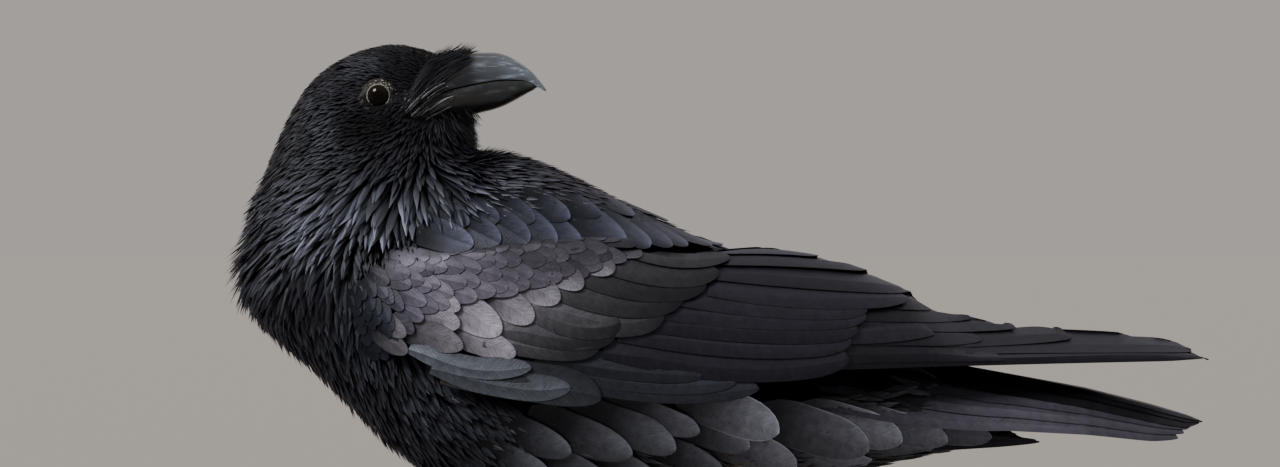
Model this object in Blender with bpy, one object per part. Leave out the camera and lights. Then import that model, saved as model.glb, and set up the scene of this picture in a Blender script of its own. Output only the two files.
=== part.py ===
"""A still, life-size raven that stands with its head turned back over its left wing.

The frame is in metres, +Z up, with the origin on the floor under the middle of the bird.
The bird faces -X, its tail points to +X and its left side faces -Y. The turned head's bill points to +X.
Sizes below are in millimetres.
"""

import math

import bmesh
import bpy
from mathutils import Matrix, Vector

MM = 0.001
GAP = 0.3  # clearance between pieces that meet

# Body and neck: one run of oval sections, which fans out from the crook between the throat and the back.
# Each row is a section's outer end x and z, its inner end x and z, its half-width, and its share of the head's turn.
BODY_SECTIONS = (
    (-139.5, 336.0, -127.5, 305.0, 12.5, 1.0),  # face, at the bill
    (-153.0, 340.5, -126.5, 300.0, 17.5, 1.0),  # lores
    (-168.0, 342.5, -126.5, 296.0, 21.5, 1.0),  # crown and eyes
    (-190.0, 336.5, -126.5, 292.5, 25.5, 1.0),  # hind crown
    (-210.0, 321.0, -126.0, 289.5, 31.0, 1.0),  # ear coverts
    (-227.5, 286.0, -125.0, 287.5, 39.0, 0.9),  # nape
    (-239.6, 241.0, -124.0, 287.0, 49.0, 0.6),  # hind neck
    (-235.0, 208.0, -122.5, 287.2, 55.5, 0.3),  # neck's root
    (-203.5, 178.5, -120.0, 288.0, 59.5, 0.0),  # breast
    (-150.0, 128.5, -112.0, 289.0, 62.5, 0.0),  # lower breast
    (-90.0, 105.0, -88.0, 281.5, 64.0, 0.0),  # fore belly
    (-33.0, 107.0, -45.0, 260.5, 60.0, 0.0),  # belly
    (30.0, 121.0, 5.0, 237.0, 50.0, 0.0),  # vent
    (84.0, 134.0, 76.0, 206.0, 32.0, 0.0),  # tail's root
    (125.0, 139.5, 118.0, 170.0, 15.0, 0.0),  # undertail coverts
    (157.0, 143.5, 155.0, 149.0, 3.5, 0.0),  # their tips
)
BODY_ROUND = 2.3  # the ovals' exponent: 2 is an ellipse
BODY_SIDES = 24
BODY_STEPS = 3  # rings from one section to the next
NECK_STARTS, TRUNK_STARTS = 5, 8  # the sections where the head and the neck are parted from what follows

HEAD_TURN = math.radians(8.0)  # how far the bill points from +X towards the bird's left side
HEAD_AXIS_X = -178.0

EYE_RADIUS = 7.6
SOCKET_GAP = 0.4
EYE_AT = (-169.5, 20.0, 316.5)  # x, distance from the head's middle, z

# The bill: x, culmen z, tomium z, gonys z and half-width at each station, from inside the face to the tip.
BILL_STATIONS = (
    (-150.0, 334.0, 313.0, 303.5, 13.5),
    (-139.0, 336.5, 315.5, 305.5, 12.2),
    (-126.0, 338.0, 320.5, 307.5, 10.6),
    (-113.0, 338.2, 323.8, 310.8, 9.0),
    (-104.0, 334.5, 324.5, 315.0, 7.2),
    (-97.5, 329.7, 323.9, 318.6, 5.0),
    (-93.8, 326.0, 321.9, 320.2, 3.2),
)
BILL_TIP = (-88.2, 319.6)  # the hook that overhangs the lower half's end
HOOK_TAPER = 0.15  # the hook's end against its last ring
LOWER_WIDTH = 0.93  # the lower half's width against the upper's
BOW, FLANK = 0.9, 0.75  # exponents of the bill's section: how full it is at the ridge and at the sides
BILL_SIDES = 9  # points over each half of the bill

# Nasal bristles: a pad over the bill's base, which thins out towards its front edge.
TUFT_FROM, TUFT_LENGTH = -133.5, 14.5
TUFT_DEPTH, TUFT_EDGE = 3.6, 0.7
TUFT_GAP = 0.6  # between the bill and the pad
TUFT_ARC = (0.1, 0.9)  # the share of the upper bill's half-circle that the pad covers
TUFT_STEPS = 5

# The folded wing: x and lower edge z; its upper edge, in degrees up the oval that it lies on; that oval's half-width,
# middle z and half-height; and the wing's thickness.
WING_STATIONS = (
    (-180.0, 212.5, 6.0, 55.0, 205.0, 84.0, 5.0),  # wrist
    (-172.0, 200.0, 14.0, 60.5, 204.0, 85.0, 8.0),
    (-150.0, 184.5, 21.5, 67.0, 201.0, 88.0, 10.0),
    (-113.0, 173.0, 28.0, 71.0, 197.0, 92.0, 10.0),
    (-53.0, 163.5, 47.0, 72.0, 186.0, 82.0, 9.0),  # the scapulars
    (-18.0, 163.5, 68.0, 69.0, 178.0, 70.0, 8.0),
    (17.0, 165.5, 90.0, 63.0, 176.0, 67.5, 7.0),  # the wings meet over the back
    (47.0, 171.0, 90.0, 56.0, 174.5, 64.5, 6.0),
    (72.0, 177.0, 90.0, 49.0, 174.0, 56.5, 5.0),
    (94.5, 181.0, 90.0, 42.0, 176.0, 42.5, 4.5),  # tips of the tertials
    (120.0, 182.0, 90.0, 36.0, 178.0, 28.0, 4.0),
    (173.0, 184.0, 90.0, 27.0, 183.0, 14.5, 3.0),
    (225.0, 185.5, 90.0, 20.0, 184.5, 7.0, 2.2),
    (240.4, 186.0, 90.0, 16.0, 185.5, 2.6, 1.6),  # wing tip
)
WING_ROUND = 2.2
EDGE_SHARE = 0.3  # a wing's thickness at its upper and lower edges, against its middle
CUT_REACH = 8.0  # how far outside the wing its cutter goes, and a quarter of it past the middle of the back
CUT_BELOW, CUT_ABOVE = 2.0, 5.0  # how many gaps the cutter's lower and upper edges clear the wing by
WING_SIDES = 8  # points up the wing's outer face
WING_STEPS = 2
MIDLINE_GAP = 1.0  # from the middle of the back to a wing

# The folded tail, an arched fan: x, crest z, half-width and drop from the crest to the edges.
TAIL_STATIONS = (
    (62.0, 192.0, 20.0, 22.0),
    (96.0, 187.0, 25.0, 30.0),
    (130.0, 180.5, 29.0, 29.5),
    (180.0, 171.5, 31.0, 23.5),
    (212.0, 163.5, 27.0, 16.0),
    (231.0, 157.5, 17.0, 9.0),
    (240.4, 153.0, 5.0, 1.5),
)
TAIL_THICKNESS = 3.0
TAIL_SIDES = 10

LEG_SPREAD = 31.0  # from the middle to each leg
FOOT_X = -86.0  # the middle of the foot pads, under the centre of mass
ANKLE = (19.0, 72.0)  # the ankle's x behind the foot pad, and its height
# The feathered leg: x behind the foot pad, height, and half-widths along and across the body.
THIGH_STATIONS = (
    (-4.0, 136.0, 30.0, 20.0),
    (0.0, 116.0, 27.0, 18.5),
    (8.0, 97.0, 19.0, 14.0),
    (15.0, 82.0, 11.5, 9.5),
    (19.0, 72.5, 6.5, 6.0),
)
LEG_SIDES = 12
SHANK_RADIUS = 3.6
SHANK_DEEPER = 1.1  # its depth along the body against its width
SHANK_SWELL = 0.35  # how much thicker it is at its two joints
SHANK_SIDES, SHANK_STEPS = 8, 7

PAD_RADIUS, PAD_Z = 7.0, 6.6
TOE_ROOT = 2.0  # from the middle of the pad
TOES = (  # name, bearing from straight ahead, length, radius, claw's size
    ("inner", 33.0, 33.0, 3.6, 1.0),
    ("middle", -2.0, 43.0, 3.9, 1.0),
    ("outer", -34.0, 35.0, 3.6, 1.0),
    ("back", 176.0, 27.0, 3.9, 1.25),
)
TOE_TAPER, TOE_PADS, TOE_END = 0.22, 0.1, 0.75  # thinner at the end by, swollen at the three pads by, end ring's size
TOE_LEVEL = 0.8  # the height of a toe's middle in radii, so that its underside is cut flat by the floor
TOE_RISES_FROM, TOE_RISE = 0.75, 2.0  # the last stretch lifts, and by how much
TOE_SIDES, TOE_STEPS = 8, 7
CLAW_CURVE, CLAW_RADIUS, CLAW_POINT = 11.0, 2.0, 0.25  # radius of its arc, of its root and of its point
CLAW_NARROW = 0.8
CLAW_GAP = 1.1  # from the end of a toe to the middle of its claw's root, which leans back
CLAW_Z = 4.9
CLAW_FROM, CLAW_TO = math.radians(-20.0), math.radians(58.0)
CLAW_SIDES, CLAW_STEPS = 6, 5


def clear_scene():
    for obj in list(bpy.data.objects):
        bpy.data.objects.remove(obj)


def material(name, colour, roughness, metallic=0.0):
    made = bpy.data.materials.new(name)
    made.use_nodes = True
    shader = made.node_tree.nodes["Principled BSDF"]
    shader.inputs["Base Color"].default_value = (*colour, 1.0)
    shader.inputs["Roughness"].default_value = roughness
    shader.inputs["Metallic"].default_value = metallic
    return made


def smooth_rows(rows, steps):
    """Rows of numbers with steps - 1 more between each pair, on a Catmull-Rom curve through them."""
    ends = [[2 * a - b for a, b in zip(rows[0], rows[1])], [2 * a - b for a, b in zip(rows[-1], rows[-2])]]
    run = [ends[0], *rows, ends[1]]
    made = []
    for i in range(1, len(run) - 2):
        for k in range(steps):
            t = k / steps
            made.append([
                0.5 * (2 * b + (c - a) * t + (2 * a - 5 * b + 4 * c - d) * t**2 + (3 * b - a - 3 * c + d) * t**3)
                for a, b, c, d in zip(*run[i - 1 : i + 3])
            ])
    return [*made, list(rows[-1])]


def power(value, exponent):
    return math.copysign(abs(value) ** exponent, value)


def turned(point, share=1.0):
    """A point of the head, swung about the neck's upright axis with the head's turn."""
    axis = Vector((HEAD_AXIS_X, 0.0, 0.0))
    return Matrix.Rotation(-HEAD_TURN * share, 3, "Z") @ (Vector(point) - axis) + axis


def add_object(name, bm, look=None):
    bmesh.ops.recalc_face_normals(bm, faces=bm.faces)
    mesh = bpy.data.meshes.new(name)
    bm.to_mesh(mesh)
    bm.free()
    mesh.shade_smooth()
    obj = bpy.data.objects.new(name, mesh)
    bpy.context.scene.collection.objects.link(obj)
    if look:
        mesh.materials.append(look)
    else:
        obj.hide_render = True
        obj.display_type = "WIRE"
    return obj


def loft(rings, shell=False):
    """A closed tube of triangles through rings of points in millimetres.

    Each end is closed by a fan, or on a shell, whose rings run along one face and back along the other, by a strip.
    """
    bm = bmesh.new()
    loops = [[bm.verts.new(point * MM) for point in ring] for ring in rings]
    count = len(loops[0])
    for near, far in zip(loops, loops[1:]):
        for i in range(count):
            j = (i + 1) % count
            bm.faces.new((near[i], near[j], far[j]))
            bm.faces.new((near[i], far[j], far[i]))
    for loop in (loops[0], loops[-1]):
        if shell:
            for i in range(count // 2 - 1):
                bm.faces.new((loop[i], loop[i + 1], loop[-1 - i]))
                bm.faces.new((loop[i + 1], loop[-2 - i], loop[-1 - i]))
            continue
        middle = bm.verts.new(sum((v.co for v in loop), Vector()) / count)
        for i in range(count):
            bm.faces.new((loop[i], loop[(i + 1) % count], middle))
    return bm


def boolean(obj, other, operation="DIFFERENCE"):
    modifier = obj.modifiers.new(f"{operation.lower()} {other.name}", "BOOLEAN")
    modifier.operation = operation
    modifier.object = other


def body_ring(row, shift=0.0, grow=0.0):
    """One oval section of the body, moved by shift along the body and grown by grow all round."""
    outer, inner = Vector((row[0], 0.0, row[1])), Vector((row[2], 0.0, row[3]))
    middle, arm = (outer + inner) / 2, (outer - inner) / 2
    along = arm.normalized().cross(Vector((0.0, 1.0, 0.0)))
    arm *= 1 + grow / arm.length
    ring = []
    for i in range(BODY_SIDES):
        angle = 2 * math.pi * i / BODY_SIDES
        up = power(math.cos(angle), 2 / BODY_ROUND)
        side = power(math.sin(angle), 2 / BODY_ROUND)
        point = middle + along * shift + arm * up + Vector((0.0, (row[4] + grow) * side, 0.0))
        ring.append(turned(point, row[5]))
    return ring


def body_part(first, last, grow=0.0):
    """The body from section first to section last, less half a gap at each end that meets another part."""
    rows = smooth_rows(BODY_SECTIONS, BODY_STEPS)[first * BODY_STEPS : last * BODY_STEPS + 1]
    shifts = [0.0] * len(rows)
    if first > 0:
        shifts[0] = GAP / 2
    if last < len(BODY_SECTIONS) - 1:
        shifts[-1] = -GAP / 2
    return loft([body_ring(row, shift, grow) for row, shift in zip(rows, shifts)])


def bill_arc(x, width, edge, reach, arc=(0.0, 1.0)):
    """Points over the bill's section at x, from one side of its edge over the ridge, at edge + reach, to the other."""
    points = []
    for i in range(BILL_SIDES):
        angle = math.pi * (arc[0] + (arc[1] - arc[0]) * i / (BILL_SIDES - 1))
        points.append(turned((x, width * power(math.cos(angle), FLANK), edge + reach * math.sin(angle) ** BOW)))
    return points


def bill_rings(upper, grow=0.0):
    """Half of the bill as D-shaped rings: the upper one bows up to the culmen, the lower one down to the gonys."""
    rings = []
    for x, culmen, tomium, gonys, half in smooth_rows(BILL_STATIONS, 2):
        edge = tomium + (GAP / 2 if upper else -GAP / 2)
        reach = (culmen if upper else gonys) - edge
        width = half if upper else half * LOWER_WIDTH
        more = math.copysign(grow, reach)
        inside = [turned((x, width * side, edge - more)) for side in (-0.5, 0.0, 0.5)]
        rings.append(bill_arc(x, width + grow, edge, reach + more) + inside)
    if upper:
        last = rings[-1]
        centre = sum(last, Vector()) / len(last)
        hook = turned((BILL_TIP[0], 0.0, BILL_TIP[1]))
        rings.append([hook + (point - centre) * HOOK_TAPER for point in last])
    return rings


def make_bill(look):
    for name, upper in (("bill_upper", True), ("bill_lower", False)):
        add_object(name, loft(bill_rings(upper)), look)
        add_object(f"cut_{name}", loft(bill_rings(upper, GAP)))


def make_nasal_tuft(look):
    """The stiff bristles that lie forward over the base of the upper bill."""
    rings = []
    for k in range(TUFT_STEPS + 1):
        share = k / TUFT_STEPS
        x = TUFT_FROM + TUFT_LENGTH * share
        _, culmen, tomium, _, half = [row for row in smooth_rows(BILL_STATIONS, 8) if row[0] <= x][-1]
        outer, inner = (
            bill_arc(x, half + lift, tomium, culmen - tomium + lift, TUFT_ARC)
            for lift in (TUFT_EDGE + TUFT_DEPTH * (1 - share) ** TUFT_EDGE, TUFT_GAP)
        )
        rings.append(outer + inner[::-1])
    add_object("nasal_tuft", loft(rings, shell=True), look)


def ball(name, centre, radius, segments, look=None):
    bm = bmesh.new()
    bmesh.ops.create_uvsphere(bm, u_segments=segments, v_segments=segments * 2 // 3, radius=radius * MM)
    bmesh.ops.rotate(bm, verts=bm.verts, matrix=Matrix.Rotation(math.pi / 2, 3, "X"))
    bmesh.ops.translate(bm, verts=bm.verts, vec=centre * MM)
    return add_object(name, bm, look)


def make_head(feather, eye):
    head = add_object("head", body_part(0, NECK_STARTS), feather)
    for name in ("cut_bill_upper", "cut_bill_lower"):
        boolean(head, bpy.data.objects[name])
    x, out, z = EYE_AT
    for name, side in (("left", 1.0), ("right", -1.0)):
        # The head looks back, so its left side faces +Y and its right side faces -Y.
        centre = turned((x, out * side, z))
        ball(f"eye_{name}", centre, EYE_RADIUS, 12, eye)
        boolean(head, ball(f"socket_{name}", centre, EYE_RADIUS + SOCKET_GAP, 12))


def wing_rings(side, grow=0.0, outward=0.0):
    """The folded wing on one side: a curved shell that lies on the body from its lower edge to the back."""
    rings = []
    rows = smooth_rows(WING_STATIONS, WING_STEPS)
    for k, (x, bottom, top, half, middle, tall, thick) in enumerate(rows):
        x += {0: -grow, len(rows) - 1: grow}.get(k, 0.0)
        low, high = math.asin(power((bottom - middle) / tall, WING_ROUND / 2)), math.radians(min(90.0, top))
        angles = [low + (high - low) * i / (WING_SIDES - 1) for i in range(WING_SIDES)]
        angles[0] -= CUT_BELOW * grow / tall
        angles[-1] = min(math.pi / 2, angles[-1] + CUT_ABOVE * grow / tall)
        faces = []
        for outer in (True, False):
            face = []
            for i, angle in enumerate(angles):
                taper = EDGE_SHARE + (1 - EDGE_SHARE) * math.sin(math.pi * i / (WING_SIDES - 1))
                inset = -grow - outward if outer else thick * taper + grow
                across = (half - inset - MIDLINE_GAP) * power(math.cos(angle), 2 / WING_ROUND)
                up = (tall - inset) * power(math.sin(angle), 2 / WING_ROUND)
                edge = MIDLINE_GAP - grow - outward * max(0.0, math.sin(angle)) ** 12 / 4
                face.append(Vector((x, side * (edge + across), middle + up)))
            faces.append(face)
        rings.append(faces[0] + faces[1][::-1])
    return rings


def make_wings(look):
    cutters = []
    for name, side in (("left", -1.0), ("right", 1.0)):
        add_object(f"wing_{name}", loft(wing_rings(side), shell=True), look)
        cutters.append(add_object(f"cut_wing_{name}", loft(wing_rings(side, GAP, CUT_REACH), shell=True)))
    return cutters


def make_tail(look, cutter):
    rings = []
    for x, crest, half, drop in smooth_rows(TAIL_STATIONS, 2):
        top = []
        for i in range(TAIL_SIDES):
            across = 2 * i / (TAIL_SIDES - 1) - 1
            top.append(Vector((x, half * across, crest - drop * across * across)))
        under = [point - Vector((0.0, 0.0, TAIL_THICKNESS)) for point in reversed(top)]
        rings.append(top + under)
    tail = add_object("tail", loft(rings, shell=True), look)
    boolean(tail, cutter)


def oval_ring(centre, along, across, sides):
    """A level oval ring with half-widths along x and across y."""
    ring = []
    for i in range(sides):
        angle = 2 * math.pi * i / sides
        ring.append(Vector(centre) + Vector((along * math.cos(angle), across * math.sin(angle), 0.0)))
    return ring


def make_leg(name, side, feather, scale, cutter):
    """The feathered leg, cut off by the body, and the bare shank down to the foot pad."""
    y = side * LEG_SPREAD
    rings = [
        oval_ring((FOOT_X + x, y, z), along, across, LEG_SIDES)
        for x, z, along, across in smooth_rows(THIGH_STATIONS, 2)
    ]
    thigh = add_object(f"thigh_{name}", loft(rings), feather)
    boolean(thigh, cutter)
    ankle_x, ankle_z = ANKLE
    rings = []
    for k in range(SHANK_STEPS + 1):
        share = k / SHANK_STEPS
        centre = (FOOT_X + ankle_x * (1 - share), y, (ankle_z - GAP) * (1 - share) + PAD_RADIUS * share)
        radius = SHANK_RADIUS * (1 + SHANK_SWELL * (2 * share - 1) ** 4)
        rings.append(oval_ring(centre, radius * SHANK_DEEPER, radius, SHANK_SIDES))
    shank = add_object(f"shank_{name}", loft(rings), scale)
    boolean(shank, ball(f"cut_pad_{name}", Vector((FOOT_X, y, PAD_Z)), PAD_RADIUS + GAP, LEG_SIDES))


def bearing_vector(bearing, side):
    """A level unit vector at an angle from straight ahead, which is -X; positive angles are towards the midline."""
    angle = math.radians(bearing)
    return Vector((-math.cos(angle), -side * math.sin(angle), 0.0))


def toe_rings(base, ahead, length, thick):
    """A toe along the floor: swollen at its pads, flat underneath, and lifted where the claw grows from it."""
    rings = []
    right = ahead.cross(Vector((0.0, 0.0, 1.0)))
    for k in range(TOE_STEPS + 1):
        share = k / TOE_STEPS
        radius = thick * (1 - TOE_TAPER * share) * (1 + TOE_PADS * math.cos(6 * math.pi * share))
        lift = TOE_RISE * max(0.0, (share - TOE_RISES_FROM) / (1 - TOE_RISES_FROM)) ** 2
        centre = base + ahead * length * share + Vector((0.0, 0.0, TOE_LEVEL * radius + lift))
        if k == TOE_STEPS:
            radius *= TOE_END
        ring = []
        for i in range(TOE_SIDES):
            angle = 2 * math.pi * (i + 0.5) / TOE_SIDES
            point = centre + right * radius * math.cos(angle) + Vector((0.0, 0.0, radius * math.sin(angle)))
            point.z = max(point.z, 0.0)
            ring.append(point)
        rings.append(ring)
    return rings


def claw_rings(base, ahead, size):
    """A claw: a tapering arc that rises a little from the toe and then comes down to the floor."""
    rings = []
    right = ahead.cross(Vector((0.0, 0.0, 1.0)))
    for k in range(CLAW_STEPS + 1):
        share = k / CLAW_STEPS
        angle = CLAW_FROM + (CLAW_TO - CLAW_FROM) * share
        normal = ahead * math.sin(angle) + Vector((0.0, 0.0, math.cos(angle)))
        root = ahead * math.sin(CLAW_FROM) + Vector((0.0, 0.0, math.cos(CLAW_FROM)))
        centre = base + (normal - root) * CLAW_CURVE * size
        radius = CLAW_RADIUS * (1 - share) ** CLAW_NARROW + CLAW_POINT
        ring = []
        for i in range(CLAW_SIDES):
            turn = 2 * math.pi * i / CLAW_SIDES
            ring.append(centre + right * radius * CLAW_NARROW * math.cos(turn) + normal * radius * math.sin(turn))
        rings.append(ring)
    return rings


def make_foot(name, side, scale, horn):
    pad_at = Vector((FOOT_X, side * LEG_SPREAD, PAD_Z))
    foot = ball(f"foot_{name}", pad_at, PAD_RADIUS, 12, scale)
    for vertex in foot.data.vertices:
        vertex.co.z = max(vertex.co.z, 0.0)
    for toe, bearing, length, thick, size in TOES:
        ahead = bearing_vector(bearing, side)
        base = Vector((FOOT_X, side * LEG_SPREAD, 0.0)) + ahead * TOE_ROOT
        boolean(foot, add_object(f"toe_{toe}_{name}", loft(toe_rings(base, ahead, length, thick))), "UNION")
        root = base + ahead * (length + CLAW_GAP) + Vector((0.0, 0.0, CLAW_Z * size ** 0.9))
        add_object(f"claw_{toe}_{name}", loft(claw_rings(root, ahead, size)), horn)


def main():
    clear_scene()
    feather = material("black feather", (0.012, 0.012, 0.016), 0.45)
    horn = material("black horn", (0.02, 0.021, 0.025), 0.3)
    eye = material("dark eye", (0.01, 0.007, 0.005), 0.05)
    scale = material("black leg scale", (0.016, 0.016, 0.018), 0.5)
    make_bill(horn)
    make_nasal_tuft(feather)
    make_head(feather, eye)
    neck = add_object("neck", body_part(NECK_STARTS, TRUNK_STARTS), feather)
    last = len(BODY_SECTIONS) - 1
    trunk = add_object("trunk", body_part(TRUNK_STARTS, last), feather)
    around_trunk = add_object("cut_trunk", body_part(TRUNK_STARTS, last, GAP))
    for cutter in make_wings(feather):
        boolean(neck, cutter)
        boolean(trunk, cutter)
    make_tail(feather, around_trunk)
    for name, side in (("left", -1.0), ("right", 1.0)):
        make_leg(name, side, feather, scale, around_trunk)
        make_foot(name, side, scale, horn)


main()
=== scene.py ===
"""The looks of a still, life-size raven that stands with its head turned back over its left wing.

Sizes are in millimetres unless a name says otherwise, and finished meshes are in metres. The bird faces
-X, its left side is at -Y, and +Z is up. A feather's place, lie and size come from the rows of sizes below.
"""

import math
from collections import namedtuple

import bmesh
import bpy
import numpy as np
from mathutils import Matrix, Vector
from mathutils.bvhtree import BVHTree
from mathutils.kdtree import KDTree


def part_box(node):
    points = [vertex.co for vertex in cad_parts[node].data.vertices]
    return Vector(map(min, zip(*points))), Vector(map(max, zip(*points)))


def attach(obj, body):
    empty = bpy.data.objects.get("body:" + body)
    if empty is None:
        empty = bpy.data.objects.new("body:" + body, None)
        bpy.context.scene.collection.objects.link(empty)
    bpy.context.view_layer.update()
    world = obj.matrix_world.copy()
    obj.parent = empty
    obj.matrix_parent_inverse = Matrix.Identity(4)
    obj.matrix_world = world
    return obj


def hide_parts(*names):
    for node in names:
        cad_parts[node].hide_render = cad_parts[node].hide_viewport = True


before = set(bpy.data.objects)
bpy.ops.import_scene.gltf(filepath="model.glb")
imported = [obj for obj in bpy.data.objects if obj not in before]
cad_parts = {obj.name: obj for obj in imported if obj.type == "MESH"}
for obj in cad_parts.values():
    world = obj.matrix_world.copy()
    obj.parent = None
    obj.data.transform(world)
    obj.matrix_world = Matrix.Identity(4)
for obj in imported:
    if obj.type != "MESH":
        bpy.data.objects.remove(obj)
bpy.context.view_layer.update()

MM = 0.001
UP = np.array([0.0, 0.0, 1.0])
SIDES = (("left", -1.0), ("right", 1.0))
RNG = np.random.default_rng(11)

# Camera and light
CAMERA_AIM = (-43.0, 248.25)  # x and z of the middle of the view
CAMERA_DISTANCE_M = 3.0
CAMERA_LENS = 168.75
HORIZON_GREY, HORIZON_GLOW, ZENITH_GLOW = "d8d2cc", 0.62, 1.2
SUN_STRENGTH, SUN_SPREAD = 4.6, math.radians(20.0)
SUN_FROM, SUN_COLOUR = (-0.64, -0.62, 0.8), "fffaf3"
FLOOR_GREY = "85827f"  # under this light it comes out as pale as the air behind it
FLOOR_HALF_M = 60.0

# Skin
FLESH = ("head", "neck", "trunk", "thigh_left", "thigh_right")
FACE = ("bill_upper", "bill_lower", "nasal_tuft")
FILLED = FACE + ("eye_left", "eye_right")  # they plug the hollows of the head
JOIN_WITHIN = 0.01  # the points of a node's loose triangles that are as near as this are one
OVERLAP = 0.5  # how much each solid grows, so that neighbours run together
VOXEL = 2.5
FORM_SMOOTHING, SKIN_SMOOTHING = 6, 3
WING_END, WING_FLESH_END = 64.0, -10.0  # the x where the wing's even face ends, and where its flesh does
UNDER_WING_DEPTH, UNDER_WING_FROM, UNDER_WING_TOP = 5.0, 14.0, 236.0
BARE_DEPTH = 0.4  # how much deeper than the coat the skin lies
# The skin steps down to the bill: the x where it starts, over what length; from what height, over what rise
BILL_BASE_DEPTH, BILL_BASE_X, BILL_BASE_Z = 6.0, (-150.0, 8.0), (304.0, 5.0)
# and to the corner of the mouth
GAPE_MIDDLE, GAPE_REACH, GAPE_DEPTH = (-146.0, 311.0), (10.0, 8.0), 6.0
GAPE_OUTLINE = (
    (-160, 307), (-157, 313), (-148, 320), (-136, 325), (-116, 332),
    (-116, 310), (-126, 308), (-140, 304.5), (-152, 304),
)
# The body narrows towards a point under the tail: the x where that starts below it and above it, the
# point's x and z, and by what share and curve.
UNDERTAIL_POINT = (72.0, 126.0, 157.0, 144.5)
UNDERTAIL_SHARE, UNDERTAIL_CURVE = 0.92, 1.5
THIN_SHARE = 0.4  # the most of its own thickness that a thin part loses on each side
NO_FAR_SIDE = 99.0
UNWRAP_ANGLE, UNWRAP_MARGIN = math.radians(66.0), 0.003
BAKE_PATCH = 0.0015  # half of a feather's patch on the skin's unwrap
SKIN_SHADE = 0.5  # the skin's tint against that of the feathers over it

# The wing's outer face is read off by rays towards this line: x and z.
WING_AXIS = ((-180.0, 205.0), (-53.0, 186.0), (17.0, 176.0), (95.0, 176.0), (240.0, 184.0))

# Colours of the feathers, with the sheen's tint in them
TINTS = {
    "velvet": "07070a",
    "crown": "0e0f13",
    # gloss: a paler tint on brow and cheek, a painted sheen where light glances off the short feathers there.
    "gloss": "2b2d34",
    "hackle": "353843",
    "neck": "1d1e25",
    "breast": "23252d",
    "mantle": "2a2b33",
    "scapular": "292b38",
    "wrist": "1f222d",
    # lesser and median: pale lilac-grey, partly the coverts' own colour and partly a painted highlight of the
    # light on them.
    "lesser": "45434f",
    "median": "5a5963",
    "greater": "2f2f34",
    "flight": "25242e",
    "primary": "1e1e25",
    "alula": "3b3f48",
    "primary_covert": "282b34",
    "scale": "57524e",
    "tail": "2e2d36",
    # flank: paler than the plumage's own black, painted light standing in for light from the front on the
    # underside.
    "flank": "484b55",
    "fluff": "2c2d32",
    "down": "3d352d",
    # undertail: paler than the plumage's own black, painted light standing in for light from the front on the
    # underside.
    "undertail": "5a5d69",
    "vent": "332c26",
    "thigh": "1b1c21",
}

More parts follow.
